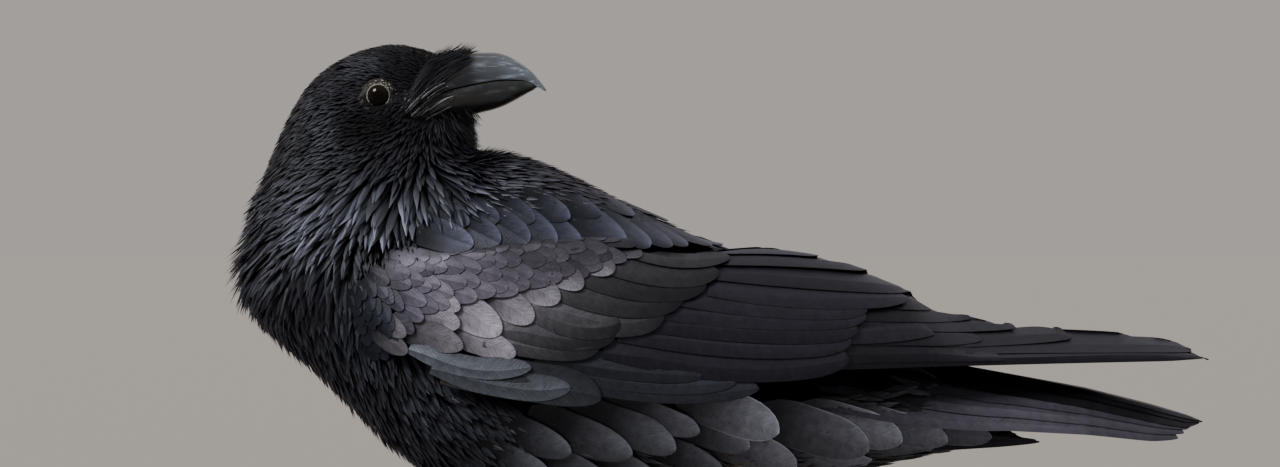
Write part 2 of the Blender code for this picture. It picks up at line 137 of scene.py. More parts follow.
# The coat: at each place, x, distance from the middle and z; the lie's x and z; a feather's length and
# width; the coat's depth; how far tips stand out; the distance between roots; and the tint.
PLACES = (
    (-146, 6, 338, -1.0, 0.05, 3.8, 1.04, 1.3, 0.2, 1.02, "velvet"),  # forehead
    (-170, 6, 343, -1.0, 0.0, 5.7, 1.36, 2.0, 0.3, 1.23, "crown"),  # crown
    (-200, 8, 333, -0.8, -0.6, 7.6, 1.6, 3.0, 0.3, 1.48, "crown"),  # hind crown
    (-224, 10, 300, -0.3, -0.95, 10.4, 1.84, 4.0, 0.5, 1.72, "crown"),  # nape
    (-232, 10, 270, -0.45, -0.9, 16.0, 2.6, 5.0, 3.5, 2.4, "neck"),  # nape's foot
    (-161, 20, 331, -1.0, 0.15, 4.3, 1.12, 1.6, 0.2, 1.07, "crown"),  # brow
    (-176, 20, 334, -1.0, 0.1, 5.2, 1.2, 1.8, 0.3, 1.15, "gloss"),
    (-150, 17, 322, -0.9, -0.1, 2.5, 0.8, 1.0, 0.1, 0.86, "velvet"),  # lores
    (-188, 25, 318, -0.9, -0.35, 5.7, 1.36, 2.5, 0.3, 1.31, "neck"),  # behind the eye
    (-172, 25, 303, -0.75, -0.5, 4.8, 1.12, 2.0, 0.2, 1.11, "velvet"),  # under the eye
    (-155, 20, 308, -0.6, -0.7, 3.8, 0.96, 1.5, 0.3, 1.07, "velvet"),  # gape
    (-151, 17, 311, -0.8, -0.6, 6.0, 0.7, 1.0, 0.8, 0.9, "hackle"),  # folds of the gape
    (-183, 31, 303, -0.85, -0.5, 6.4, 1.4, 3.0, 0.4, 1.4, "velvet"),  # cheek
    (-195, 31, 301, -0.85, -0.5, 7.6, 1.6, 3.0, 0.6, 1.48, "gloss"),
    (-192, 34, 290, -0.85, -0.5, 7.6, 1.6, 3.0, 0.6, 1.48, "gloss"),
    (-205, 30, 300, -0.8, -0.6, 8.5, 1.76, 3.5, 0.4, 1.64, "crown"),  # ear coverts
    (-143, 8, 302, 0.25, -1.0, 6.5, 0.9, 1.5, 1.6, 1.1, "velvet"),  # chin
    (-130, 12, 292, 0.2, -1.0, 11.4, 1.44, 3.0, 2.2, 1.48, "neck"),  # throat
    (-128, 6, 302, 0.5, -0.9, 9.0, 1.0, 1.5, 2.6, 1.1, "velvet"),
    (-160, 32, 290, -0.45, -0.9, 11.4, 1.92, 4.0, 0.6, 1.72, "neck"),  # side of the throat
    (-213, 44, 265, -0.85, -0.5, 18.0, 2.6, 5.5, 1.5, 2.5, "neck"),  # side of the hind neck
    (-238, 10, 245, -0.6, -0.8, 22.0, 2.8, 6.0, 7.0, 2.7, "neck"),  # hind neck
    (-193, 50, 265, -0.6, -0.8, 24.0, 3.4, 6.0, 2.0, 2.9, "hackle"),  # rear hackles
    (-165, 50, 272, -0.1, -1.0, 28.0, 5.0, 6.0, 3.5, 3.6, "hackle"),  # middle hackles
    (-143, 45, 277, 0.3, -0.95, 25.0, 4.0, 5.0, 4.0, 3.2, "hackle"),  # fore hackles
    (-130, 35, 290, 0.25, -0.97, 15.2, 1.92, 4.0, 2.0, 1.8, "neck"),  # throat's edge
    (-148, 50, 255, 0.3, -0.95, 9.0, 2.6, 4.0, 0.5, 2.5, "crown"),  # in the hackles' shade
    (-166, 54, 250, 0.05, -1.0, 10.0, 2.6, 5.0, 0.5, 2.5, "crown"),
    (-172, 58, 234, 0.05, -1.0, 10.0, 2.8, 5.0, 0.5, 2.6, "crown"),
    (-228, 40, 235, -0.55, -0.85, 22.0, 3.0, 6.0, 5.5, 2.8, "neck"),  # hind neck's foot
    (-203, 58, 232, -0.2, -0.98, 24.0, 4.0, 6.0, 1.5, 3.1, "neck"),  # upper breast
    (-182, 60, 222, 0.1, -1.0, 20.0, 3.4, 6.0, 1.2, 3.0, "breast"),  # breast
    (-236, 12, 215, 0.1, -1.0, 18.0, 3.0, 6.0, 2.5, 2.8, "breast"),  # breast's front
    (-213, 45, 200, 0.25, -0.97, 18.0, 3.2, 6.0, 1.5, 3.0, "breast"),
    (-193, 45, 180, 0.45, -0.9, 17.0, 3.0, 5.5, 1.5, 2.9, "breast"),
    (-190, 10, 165, 0.6, -0.8, 17.0, 3.0, 5.0, 2.0, 2.9, "breast"),
    (-163, 55, 155, 0.65, -0.75, 17.0, 3.0, 5.0, 1.0, 2.9, "breast"),
    (-138, 62, 155, 0.8, -0.6, 18.0, 4.0, 5.5, 0.8, 3.3, "breast"),  # below the wrist
    (-138, 45, 133, 0.85, -0.5, 18.0, 3.6, 5.5, 1.0, 3.2, "breast"),
    (-90, 20, 106, 1.0, -0.05, 24.0, 5.0, 6.0, 0.8, 4.0, "thigh"),  # belly
    (-70, 60, 145, 0.95, -0.35, 22.0, 2.6, 5.0, 0.6, 3.3, "fluff"),  # flank
    (-24, 52, 145, 0.95, -0.25, 20.0, 2.2, 5.0, 0.8, 3.1, "fluff"),
    (-6, 50, 146, 0.9, -0.4, 18.0, 1.8, 5.0, 1.4, 3.0, "down"),  # rear flank
    (18, 46, 150, 1.0, -0.2, 20.0, 2.4, 5.0, 0.6, 3.2, "fluff"),
    (20, 30, 122, 1.0, 0.1, 22.0, 3.0, 5.0, 1.2, 3.6, "vent"),  # vent
    (56, 36, 156, 1.0, -0.1, 16.0, 1.8, 3.5, 1.0, 3.0, "fluff"),  # below the tail's root
    (90, 14, 136, 1.0, 0.06, 24.0, 4.0, 3.0, 0.5, 4.0, "fluff"),  # undertail coverts
    (126, 6, 142, 1.0, 0.05, 12.0, 3.0, 1.4, 0.2, 3.4, "primary"),
    (70, 24, 178, 1.0, -0.1, 24.0, 6.0, 2.5, 0.3, 4.4, "primary"),  # rump
    (-105, 12, 287, 1.0, -0.25, 18.0, 2.2, 4.0, 1.0, 2.4, "mantle"),  # top of the mantle
    (-113, 45, 277, 1.0, -0.3, 18.0, 2.2, 4.0, 0.8, 2.3, "mantle"),  # mantle
    (-83, 45, 270, 1.0, -0.35, 20.0, 2.6, 4.5, 0.8, 2.6, "mantle"),
    (-125, 55, 258, 0.9, -0.4, 18.0, 3.4, 4.0, 0.8, 2.8, "mantle"),
    (-50, 10, 262, 1.0, -0.4, 24.0, 4.0, 5.0, 0.8, 3.4, "mantle"),  # back
    (0, 10, 247, 1.0, -0.3, 26.0, 6.0, 4.0, 0.8, 4.4, "mantle"),
    (-86, 50, 112, 0.3, -1.0, 16.0, 4.0, 4.0, 0.6, 3.4, "thigh"),  # thigh
    (-86, 12, 112, 0.3, -1.0, 14.0, 4.0, 4.0, 0.4, 3.6, "thigh"),
    (-72, 42, 88, 0.3, -1.0, 10.0, 2.6, 2.5, 0.4, 2.4, "thigh"),
    (-67, 36, 75, 0.25, -1.0, 6.0, 1.8, 1.2, 0.2, 1.8, "thigh"),  # ankle
)
ACROSS_SHARE = 0.6  # how much a place's distance from the middle counts against x and z
PLACE_CORE, PLACE_POWER = 4.0, -2.2  # how places blend: squared size of a place's core, fading outside it
BARE_BODY_FROM, BARE_BILL_FROM, BARE_BILL_NEAR = 134.0, (-121.0, 300.0), 2.2  # no small feather grows there
BARE_WING_FROM, BARE_SCAPULARS_FROM = 24.0, 20.0  # the distance from the middle where a wing starts
HEAD_FROM, HEAD_TO, FORE_TO = 278.0, -120.0, -125.0  # lowest z and last x of the head, last x of the breast

# Small feathers
LIE_SCATTER, TWIST_SCATTER = math.radians(9.0), math.radians(16.0)
LENGTH_SCATTER, LIFT_SCATTER, RISE_SCATTER = (0.85, 1.15), (0.3, 1.6), (-0.5, 0.5)
RISE_CURVE = 1.3  # how a feather comes up through the coat from its root
BODY_BOW, FACE_BOW = 0.32, 0.14  # how round the vane is across, against its half-width
LEAF_THICKNESS = 0.3  # also against its half-width
UNEVEN, DARKEST, PALEST, BRIGHTEST = 0.42, -0.9, 0.7, 2.6  # how brightness varies from feather to feather
# A painted shade at each small feather's root, where it lies under the others, growing to a painted highlight
# at its tip.
PAINTED_ROOT_SHADE, PAINTED_TIP_HIGHLIGHT, SHADE_CURVE = 0.12, 1.35, 2.2
# A painted sheen that makes one side of each small feather's quill paler.
PAINTED_SIDE_SHEEN = 0.5  # how much paler a small feather is on one side of its quill
CANDIDATES, CLOSEST = 7.0, 0.86  # roots tried for each that grows; the least distance against the table's

# The lesser coverts, rows of small scales round the wrist: the same columns as the coat's places.
WING_PLACES = (
    (-178, 56, 214, 0.35, -0.94, 10.0, 7.0, 3.5, 0.8, 4.2, "wrist"),  # wrist
    (-172, 60, 200, 0.7, -0.7, 12.0, 8.0, 3.5, 0.9, 4.8, "wrist"),
    (-162, 64, 234, 0.95, -0.25, 16.0, 9.5, 3.5, 0.9, 4.9, "lesser"),
    (-140, 68, 224, 0.97, -0.2, 21.0, 11.5, 3.5, 1.0, 5.8, "lesser"),
    (-95, 70, 238, 0.98, -0.15, 24.0, 12.0, 3.5, 1.0, 6.2, "lesser"),
    (-152, 66, 204, 0.93, -0.35, 18.0, 10.5, 3.5, 1.0, 5.6, "lesser"),
)
WING_OUTLINE = (
    (-182, 224), (-181, 205), (-168, 193), (-150, 187), (-134, 176), (-104, 161), (-60, 159), (0, 162),
    (62, 168), (80, 172), (80, 225), (50, 236), (25, 243), (-10, 246), (-50, 252), (-100, 253), (-150, 246),
)
SCAPULAR_OUTLINE = (
    (-156, 236), (-152, 260), (-100, 262), (-62, 262), (-30, 256), (0, 250), (40, 243), (40, 236),
)
LESSER_ZONE = (
    (-186, 224), (-181, 196), (-173, 191), (-168, 203), (-160, 213), (-145, 221),
    (-116, 224), (-96, 232), (-72, 240), (-66, 248), (-140, 246), (-168, 238),
)

# Big feathers. Each has three points, x and z, along its lower edge, or along its quill in the rows that
# are laid by it; its width; and for some a tone of its own, and how much it tapers.
FLIGHT = (
    (-30, 242, 0, 242.5, 23, 240.5, 26),
    (-20, 238, 20, 238, 47, 235.5, 28),
    (-10, 233, 35, 231.5, 76, 228, 30),
    (-8, 226, 45, 220.5, 97, 217.5, 24),
    (-10, 218, 40, 211, 94, 212.5, 20),
    (-25, 213, 30, 206, 71, 207, 19),
    (-32, 206, 25, 200.5, 69.5, 202.5, 19),
    (-42, 200.5, 20, 194, 65.5, 195.7, 19),
    (-54, 195.5, 10, 187, 62.5, 190, 19),
    (-62, 187.5, 2, 175.5, 61, 180.5, 20),
)
PRIMARIES = (
    (10, 216, 60, 213, 104, 210, 34),
    (30, 208, 80, 205, 124, 205.5, 32),
    (40, 204, 95, 200.5, 145, 201, 26),
    (20, 199, 62, 194, 103.5, 198, 22),
    (40, 196, 92, 193.2, 128, 195.3, 27),
    (40, 194, 115, 193, 173, 196, 28),
    (40, 190, 160, 190, 234, 189.8, 27),
    (30, 184, 85, 184.5, 137, 185, 15),
    (20, 182, 150, 184, 240.6, 185.5, 22),
    (10, 180, 130, 183, 232, 184.9, 16),
)
PRIMARY_COVERTS = (
    (-95, 184, -55, 177, -13, 174.5, 13),
    (-95, 180, -40, 170, 5, 171.7, 13),
    (-92, 176, -36, 165.2, 17, 168.5, 13),
)
# The first one's own tone of 1.5 is partly a painted highlight of the light on its upper face.
ALULA = (
    (-157, 190, -127, 177.5, -95, 180, 11, 1.5),
    (-146, 180, -110, 166.5, -75, 169, 14, 1.0),
    (-136, 173, -100, 161, -62, 161, 20, 0.4),
)
GREATER = (
    (-56, 240, -27, 231, 5, 233.5, 18),
    (-70, 232.5, -31, 221.3, -1, 226, 19),
    (-79, 225.5, -41, 214.3, -7, 218.5, 20),
    (-91, 218.5, -51, 206.7, -19, 212, 20),
    (-97, 210.5, -58, 197.5, -28, 204, 20),
    (-98, 207, -74, 196.5, -50, 199, 18),
    (-114, 199, -81, 191, -53, 194, 17),
    (-120, 193, -86, 186, -60, 189, 16),
)
MEDIAN = (
    (-61, 242, -51, 240, -42, 237, 12),
    (-77, 239, -66, 234.5, -55.5, 229, 15),
    (-94, 234, -82, 229, -71, 221, 15),
    (-107, 226, -94, 221.5, -83, 214.5, 16),
    (-118, 217, -106, 212.5, -95, 205, 16),
    (-138, 214, -124, 208, -111, 199, 18),
    (-162, 218, -146, 217, -130, 211, 13),
    (-163, 211, -147, 208.5, -131, 203, 15),
    (-160, 202, -146, 198.5, -129, 192.5, 15),
    (-176, 211, -167, 205, -157, 198, 11, 0.7),
    (-174, 203, -166, 196, -156, 190, 11, 0.6),
    (-134, 200, -119, 195, -103, 189, 14),
)
UNDERTAIL = (
    (-24, 168, 0, 161, 25, 151, 21, 1.7),
    (14, 160, 42, 151, 68.5, 142, 23),
    (34, 161, 60, 154, 86.5, 146.5, 19),
    (56, 160, 82, 153, 109, 146, 16),
    (80, 155, 105, 150, 132, 147, 13),
    (-12, 148, 10, 142, 34, 134, 19),
    (20, 145, 44, 139, 70, 135, 17),
    (46, 143, 76, 141, 104, 142.5, 10),
    (66, 146, 112, 144.8, 158.5, 144.5, 15, 0.12, 0.85),
)
FLANKS = (
    (-62, 167, -40, 161, -15, 151, 17),
    (-34, 160, -10, 152, 10, 143, 18),
    (-82, 165, -54, 156, -26, 142, 20),
    (-98, 160, -74, 150, -47, 140, 20),
    (-120, 158, -98, 149, -76, 141, 18),
    (-46, 147, -24, 139, -2, 131, 17),
    (-76, 144, -54, 134, -34, 127, 17),
    (-102, 145, -82, 135, -60, 129, 17),
    (-128, 147, -108, 138, -88, 131, 16),
)
MARGINAL = (
    (-141, 174, -131, 169.5, -122, 166, 10),
    (-134, 169, -124, 164.5, -115, 161, 10),
    (-126, 164, -116, 160, -107, 156.5, 10),
    (-118, 162, -109, 158, -100, 155, 10),
)
SCAPULARS = (
    (-34, 249.5, -18, 245, -2, 240.5, 11),
    (-42, 254, -25, 247.5, -8, 240.5, 16),
    (-53, 258, -37, 249.5, -20, 240.5, 19),
    (-61, 260, -45, 250.5, -28, 240, 20),
    (-71, 261, -55, 251, -39, 240, 21),
    (-92, 266, -70, 254, -52, 241, 25),
    (-102, 259, -86, 249.5, -73, 240, 18),
    (-117, 263, -100, 253, -85.5, 241.5, 19),
    (-128, 261, -112, 252, -98, 242.5, 19),
    (-142, 258.5, -126, 250, -111.5, 242, 18),
    (-156, 252, -141, 247, -125, 241, 17),
)
UPPER_SCAPULARS = (
    (-54, 266, -42, 260, -31, 253, 16),
    (-70, 269, -58, 263, -47, 255.5, 17),
    (-86, 269, -75, 262, -63, 256, 17),
    (-102, 268, -90, 261, -78, 254, 17),
    (-118, 267, -107, 260, -95.5, 253, 16),
    (-134, 265, -124, 259, -112, 253.5, 15),
    (-146, 262, -137, 257, -127, 252, 13),
)
# Tail feathers of one side: the lower edge's share of the way from the crest to the side, at root and at
# tip; the tip's x; and the width.
RECTRICES = (
    (0.16, 0.5, 240.4, 20),
    (0.32, 0.6, 240.0, 20),
    (0.48, 0.75, 239.0, 20),
    (0.65, 0.8, 234.0, 20),
    (0.83, 0.9, 229.0, 19),
    (0.99, 0.99, 226.0, 18),
)
# The tail's arch: x, height of its crest, half-width, and how far its side edges drop below the crest.
TAIL_STATIONS = (
    (46, 190.5, 45, 28),
    (62, 190, 42.5, 31),
    (80, 188.5, 36.5, 33.5),
    (96, 187, 32.5, 34),
    (112, 184, 30.5, 33),
    (130, 180.5, 29.5, 30),
    (180, 171.5, 31, 23.5),
    (212, 163.5, 27, 19),
    (231, 157.5, 17, 13.5),
    (240.4, 153, 5, 1.5),
)

# How big feathers are laid. below: the share of the width below the quill. tip: how far up across the width
# the tip is. rounds_at: where along it the tip begins to round. slope: the vane's drop per millimetre up from
# its lower edge, or if negative down from its upper one. bow: its ridge. contrast: a painted sheen,
# how much brighter the vane is painted above the quill than below. root_tone, tip_tone:
# its tone at root and tip, painted shade and painted sheen along the feather. rim_tone: its tone at
# the rim, a painted shadow line under the edge where below 1 and a painted edge highlight where above 1.
# by_quill: whether its points follow the quill. worn: how much of the painted highlight in the
# middle of the wing it takes. step: how much lower each feather of the row lies than the one before.
Style = namedtuple(
    "Style", "below tip rounds_at slope bow contrast root_tone tip_tone rim_tone by_quill worn step"
)
# A row: its feathers, their tint, the sheet they lie on, how many rows of points each has and whether its
# middle is a sharp ridge, its height at root and at tip, and its style.
Row = namedtuple("Row", "feathers tint sheet points ridged heights style")
ROWS = (
    Row(PRIMARIES, "primary", "wing", 24, True, (-1.6, -0.7),
        Style(0.3, 0.06, 0.8, 0.07, 0.3, 0.1, 0.8, 1.1, 0.15, False, 0, 0)),
    Row(FLIGHT, "flight", "wing", 20, True, (-0.4, 0.7),
        Style(0.32, 0.3, 0.82, 0.085, 0.3, 0.3, 0.8, 1.1, 0.12, False, 0, 0)),
    Row(PRIMARY_COVERTS, "primary_covert", "wing", 12, True, (-0.6, 0.4),
        Style(0.35, 0.3, 0.75, 0.1, 0.3, 0.2, 0.8, 1.1, 0.15, False, 0, 0)),
    Row(MARGINAL, "scale", "wing", 12, False, (0.2, 1.2),
        Style(0.5, 0.5, 0.5, -0.07, 0.2, 0.1, 0.5, 1.1, 0.3, True, 0, 0)),
    Row(ALULA, "alula", "wing", 12, True, (0.9, 2.2),
        Style(0.4, 0.3, 0.72, 0.09, 0.4, -0.3, 0.9, 1.1, 0.2, False, 0, 0)),
    Row(GREATER, "greater", "wing", 16, True, (0.4, 1.2),
        Style(0.34, 0.35, 0.74, 0.07, 0.2, 0.35, 2.0, 0.55, 0.1, False, 0.6, 0)),
    Row(MEDIAN, "median", "wing", 12, False, (-0.7, 1.7),
        Style(0.5, 0.5, 0.45, -0.03, 0.1, -0.22, 0.1, 1.4, 0.12, True, 0.9, 0)),
    Row(SCAPULARS, "scapular", "shoulder", 14, True, (0.6, 2.2),
        Style(0.48, 0.5, 0.5, -0.04, 0.1, 1.15, -0.4, 1.4, 0.2, True, 0, 0)),
    Row(UPPER_SCAPULARS, "scapular", "shoulder", 12, True, (0.8, 2.2),
        Style(0.5, 0.5, 0.45, -0.04, 0.1, 1.0, -0.4, 1.3, 0.3, True, 0, 0)),
    Row(UNDERTAIL, "undertail", "flank", 12, True, (0.4, 3.6),
        Style(0.5, 0.5, 0.6, 0.03, 0.3, 0.35, -0.2, 1.5, 2.1, True, 0, 0.2)),
    Row(FLANKS, "flank", "flank", 12, False, (-0.4, 3.0),
        Style(0.5, 0.5, 0.3, -0.03, 0.3, 0.55, -0.9, 1.7, 0.45, True, 0, 0.1)),
)
LESSER_STYLE = Style(0.5, 0.5, 0.3, -0.01, 0.03, -0.15, 0.55, 1.2, 0.12, True, 1.0, 0)
LESSER_HEIGHTS, LESSER_POINTS, LESSER_SCATTER = (-0.2, 0.9), 9, 0.05
TAIL_STYLE = Style(0.3, 0.2, 0.88, 0.05, 0.25, 0.35, 0.9, 1.1, 0.2, False, 0, 0)
TAIL_HEIGHTS, TAIL_STEP, TAIL_POINTS, TAIL_TAPER, TAIL_SCATTER = (0.2, 0.4), 0.35, 24, 0.35, 0.1
# The middle pairs carry a painted shadow, as if the folded wing shaded them; the outer ones are painted lit,
# with a painted highlight along their rims.
TAIL_SHADED_PAIRS, TAIL_PAINTED_SHADOW, TAIL_PAINTED_LIGHT, TAIL_EDGE_HIGHLIGHT = 3, 0.4, 1.9, 1.3  # the middle pairs are the dark ones
EDGE_SCATTER, TIP_SCATTER = 0.5, (0.6, 0.2)  # how far a tip strays, in x and z
COLOUR_SCATTER, HEIGHT_SCATTER = 0.2, 0.06
# The painted highlight in the middle of the wing, where the coverts catch the light: its middle and reach in
# x and z, and how much paler and darker it paints.
SHEEN_SPOT_MIDDLE, SHEEN_SPOT_REACH = (-120.0, 206.0), (40.0, 20.0)  # x and z
SHEEN_SPOT_MOST, SHEEN_SPOT_LESS = 1.6, 0.5
LONGEST_ROUNDING = 24.0  # the most of a feather's length that its round tip takes up
LEAST_OF_STEP = 0.5  # a step that moves less than this share of its length has come to the surface's end
ROOT_WIDTH, ROOT_GROWTH, TIP_WIDTH = 0.45, 3.0, 0.03  # how a big feather widens from its root, and ends
QUILL_WIDTH, QUILL_HEIGHT, BIG_THICKNESS, RIM_FROM, LEAST_TONE = 0.2, 0.7, 0.35, 0.3, 0.1

# The sheets that big feathers lie on: rows and the share of the sweep that they cover, where rays start, the
# rounds of smoothing, and how many of the lowest rows are left out.
SHEET_ROWS, SHEET_SPAN, RAY_FROM, SHEET_SMOOTHING, SHEET_TRIM = 30, (0.01, 0.995), 200.0, 3, 3
LEAST_RISE = 1e-6
SKIRT_STEPS, SKIRT_STEP = 5, 2.5  # below a side's lower edge its surface goes on straight down
# Behind this x the sheet leans straight up from its side to the closed wing's top edge: x and z of that edge.
ROOF_FROM, ROOF_FULL, ROOF_SIDE, ROOF_Y = 92.0, 122.0, 0.2, 0.3
ROOF_EDGE = (
    (92, 215), (108, 212.5), (125, 207.5), (134.5, 205), (169.4, 203),
    (193.3, 201.5), (207.7, 199.5), (222, 196.7), (231.6, 193.2), (241, 187.5),
)
WING_COLUMNS, WING_ENDS, STATION_NEAR = 100, (0.3, 0.2), 0.2
RIDGE_ANGLE, PAST_RIDGE = 89.7, 1.0  # the highest angle of a wing's sheet; degrees past its top point
BODY_COLUMNS = 80
SHOULDER_SHEET = (-176.0, 70.0, -40.0, 89.0)  # first and last x, lowest and highest angle
FLANK_SHEET = (-135.0, 156.0, -75.0, 20.0)
TAIL_GRID = (80, 41)

# Bill: x, then the heights of the culmen, of the upper half's edge and of the gonys, then the half-width.
BILL_STATIONS = (
    (-161.0, 322.0, 304.5, 301.5, 26.0),
    (-154.0, 329.0, 308.8, 301.5, 25.0),
    (-147.0, 334.5, 314.5, 302.2, 22.0),
    (-139.0, 336.7, 318.3, 304.0, 17.5),
    (-126.0, 338.0, 321.8, 307.5, 12.5),
    (-113.0, 338.2, 324.2, 310.8, 9.4),
    (-104.0, 334.5, 324.5, 315.0, 7.2),
    (-97.5, 330.0, 323.9, 318.6, 5.0),
    (-93.8, 326.3, 321.9, 320.2, 3.3),
    (-91.4, 323.4, 320.4, 320.2, 2.1),
    (-89.7, 321.2, 319.4, 320.2, 1.2),
    (-88.9, 319.8, 319.2, 320.2, 0.5),
)
LOWER_END = -92.8  # the x where the lower half ends, behind the hook
LOWER_WIDTH, BILL_BOW, BILL_FLANK = 0.93, 0.9, 0.75
MOUTH_GAP = 0.3  # half of the gap between the halves
GAP_CLOSES, GAP_RUN, GAP_OVERLAP = 2.0, 8.0, -0.3  # before the lower half's end, over a length, to an overlap
LIP_DEPTH, LIP_WIDTH = 0.07, 0.12
LOWER_ROUNDING, LOWER_LEAST = 2.5, 0.04
BILL_POINTS, BILL_RINGS, BILL_STEPS = 41, 84, 6
MOUTH_HOLLOW, HOLLOW_RUN, HOLLOW_AT = 0.4, 8.0, (0.06, 0.3, 0.5, 0.7, 0.94)
HEAD_TURN, HEAD_AXIS_X = math.radians(8.0), -178.0

# Bristles: how many, the x's that they grow between, their shortest and longest, and their width
NOSE_BRISTLES, NOSE_ROOTS, NOSE_LENGTHS, NOSE_WIDTH = 1100, (-156.0, -138.0), (11.0, 16.5), 0.55
CHIN_BRISTLES, CHIN_ROOTS, CHIN_LENGTHS, CHIN_WIDTH = 420, (-150.0, -126.0), (6.0, 11.0), 0.4
GAPE_BRISTLES, GAPE_ROOTS, GAPE_LENGTHS, GAPE_WIDTH = 420, (-153.0, -133.0), (7.0, 14.0), 0.36
NOSE_BLACK, CHIN_BLACK, GAPE_BLACK, GAPE_GREY, GAPE_GREY_SHARE = "121318", "101114", "1b1c1f", "68696b", 0.34
NOSE_RIDGE, NOSE_STANDS, NOSE_SWEEP = 0.45, 5.0, 0.3  # the ridge's reach, how far they stand up, their turn
BRISTLE_POINTS, BRISTLE_TIP, BRISTLE_THICKNESS, BRISTLE_SCATTER = 6, 0.15, 0.4, 0.55

# Eyes: how far each seen circle is from the ball's middle in the plane across its axis
EYE_RADIUS, PUPIL, IRIS, EYE_SEGMENTS = 7.6, 3.1, 5.4, 64
# LID_FLECK_HIGHLIGHT: pale flecks on the fold crests, partly the skin's own and partly a painted highlight.
PUPIL_BLACK, IRIS_BROWN, EYE_BLACK, LID_BLACK, LID_FLECK_HIGHLIGHT = "020202", "0c0807", "080605", "060607", "aaa79f"
EYE_FORWARD = math.radians(5.0)  # how far each eye looks towards the bill
RING_RADIUS, RING_THICKNESS, RING_OUT, RING_POINTS = 5.6, 0.42, 0.3, 10
AROUND_EYE, LID_ROWS = 96, 26
LID_REACH, LID_FOLD, LID_HEIGHT, LID_SUNK = 10.5, 1.5, 0.28, 1.2
LID_SHIFT, LID_BARE = np.array([1.7, 0.0, 0.6]), 10.0  # bare skin reaches further before and above the eye

# Legs, as on the CAD model
LEG_SPREAD, FOOT_X, ANKLE = 31.0, -86.0, (19.0, 72.0)
SHANK_RADIUS, SHANK_SWELL, SHANK_DEEPER, SCUTES = 3.6, 0.35, 1.1, 15
SHANK_POINTS, SCUTE_RINGS, SCUTE_STEP, SIDE_SCALES = 28, 6, 0.1, 0.06
PAD_RADIUS, PAD_Z, TOE_ROOT = 7.0, 6.6, 2.0
TOE_POINTS, TOE_RINGS, TOE_SCUTE, TOE_STEP = 20, 5, 3.2, 0.09
TOE_NARROWS, TOE_KNUCKLES, TOE_PADS, TOE_ABOVE = 0.22, 0.1, 0.05, 0.8
TOE_LIFT, TOE_LIFT_FROM, TOE_END, TOE_END_FROM = 2.0, 0.75, 0.25, 0.93
FLOOR_GAP = 0.02
TOES = (  # name, bearing from straight ahead, length, radius, claw's size
    ("inner", 33.0, 33.0, 3.6, 1.0),
    ("middle", -2.0, 43.0, 3.9, 1.0),
    ("outer", -34.0, 35.0, 3.6, 1.0),
    ("back", 176.0, 27.0, 3.9, 1.25),
)
CLAW_CURVE, CLAW_RADIUS, CLAW_NARROW, CLAW_Z = 11.0, 2.0, 0.8, 4.9
CLAW_OUT, CLAW_TIP, CLAW_RINGS, CLAW_POINTS = 0.4, 0.2, 18, 14
CLAW_FROM, CLAW_TO = math.radians(-20.0), math.radians(58.0)


# ---------------------------------------------------------------- numbers and meshes


def linear(hex_colour):
    """An sRGB hex colour as linear light."""
    parts = np.array([int(hex_colour[i : i + 2], 16) / 255 for i in (0, 2, 4)])
    return np.where(parts <= 0.04045, parts / 12.92, ((parts + 0.055) / 1.055) ** 2.4)


def ramp(value, start, run):
    """0 up to the start, 1 from the end of the run on."""
    return np.clip((value - start) / run, 0.0, 1.0)


def turns(count):
    """Angles all the way round."""
    return np.linspace(0.0, 2 * math.pi, count, endpoint=False)


def unit(rows):
    return rows / np.maximum(np.linalg.norm(rows, axis=-1, keepdims=True), 1e-9)


def copy_of(*names):
    """The named CAD nodes as one bmesh in millimetres, with their loose triangles joined."""
    bm = bmesh.new()
    for name in names:
        bm.from_mesh(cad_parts[name].data)
    bmesh.ops.scale(bm, vec=(1 / MM,) * 3, verts=bm.verts)
    bmesh.ops.remove_doubles(bm, verts=bm.verts, dist=JOIN_WITHIN)
    bm.normal_update()
    return bm


def add_mesh(name, mesh):
    obj = bpy.data.objects.new(name, mesh)
    bpy.context.scene.collection.objects.link(obj)
    return obj


def add_bmesh(name, bm, scale=1.0):
    mesh = bpy.data.meshes.new(name)
    if scale != 1.0:
        bmesh.ops.scale(bm, vec=(scale,) * 3, verts=bm.verts)
    bm.to_mesh(mesh)
    bm.free()
    mesh.shade_smooth()
    return add_mesh(name, mesh)


def finish_piece(obj, look, slot, *nodes):
    if look:
        obj.data.materials.clear()
        obj.data.materials.append(look)
    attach(obj, "root")
    if nodes:
        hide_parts(*nodes)
    return obj


def relaxed(points, edges, rounds):
    """Points moved half-way to the mean of their neighbours, round after round."""
    counts = np.maximum(np.bincount(edges.ravel(), minlength=len(points)), 1)[:, None]
    for _ in range(rounds):
        total = np.zeros_like(points)
        np.add.at(total, edges[:, 0], points[edges[:, 1]])
        np.add.at(total, edges[:, 1], points[edges[:, 0]])
        points = points + 0.5 * (total / counts - points)
    return points


def mesh_array(collection, name, width, kind=np.float64):
    values = np.empty(len(collection) * width, kind)
    collection.foreach_get(name, values)
    return values.reshape(-1, width) if width > 1 else values


def corners_of(mesh, count):
    """The point numbers of a mesh's faces, which all have the same number of corners."""
    return mesh_array(mesh.loops, "vertex_index", 1, np.int32).reshape(-1, count)


def colour_points(mesh, colours):
    """Gives each point of a mesh its tint, which the materials read."""
    values = np.concatenate([colours, np.ones((len(colours), 1))], axis=1).astype(np.float32)
    mesh.attributes.new("tint", "FLOAT_COLOR", "POINT").data.foreach_set("color", values.ravel())


def eased(rows):
    """Shares of a feather's length that lie closer together towards its tip."""
    return np.sin(np.linspace(0.0, 1.0, rows) * math.pi / 2)


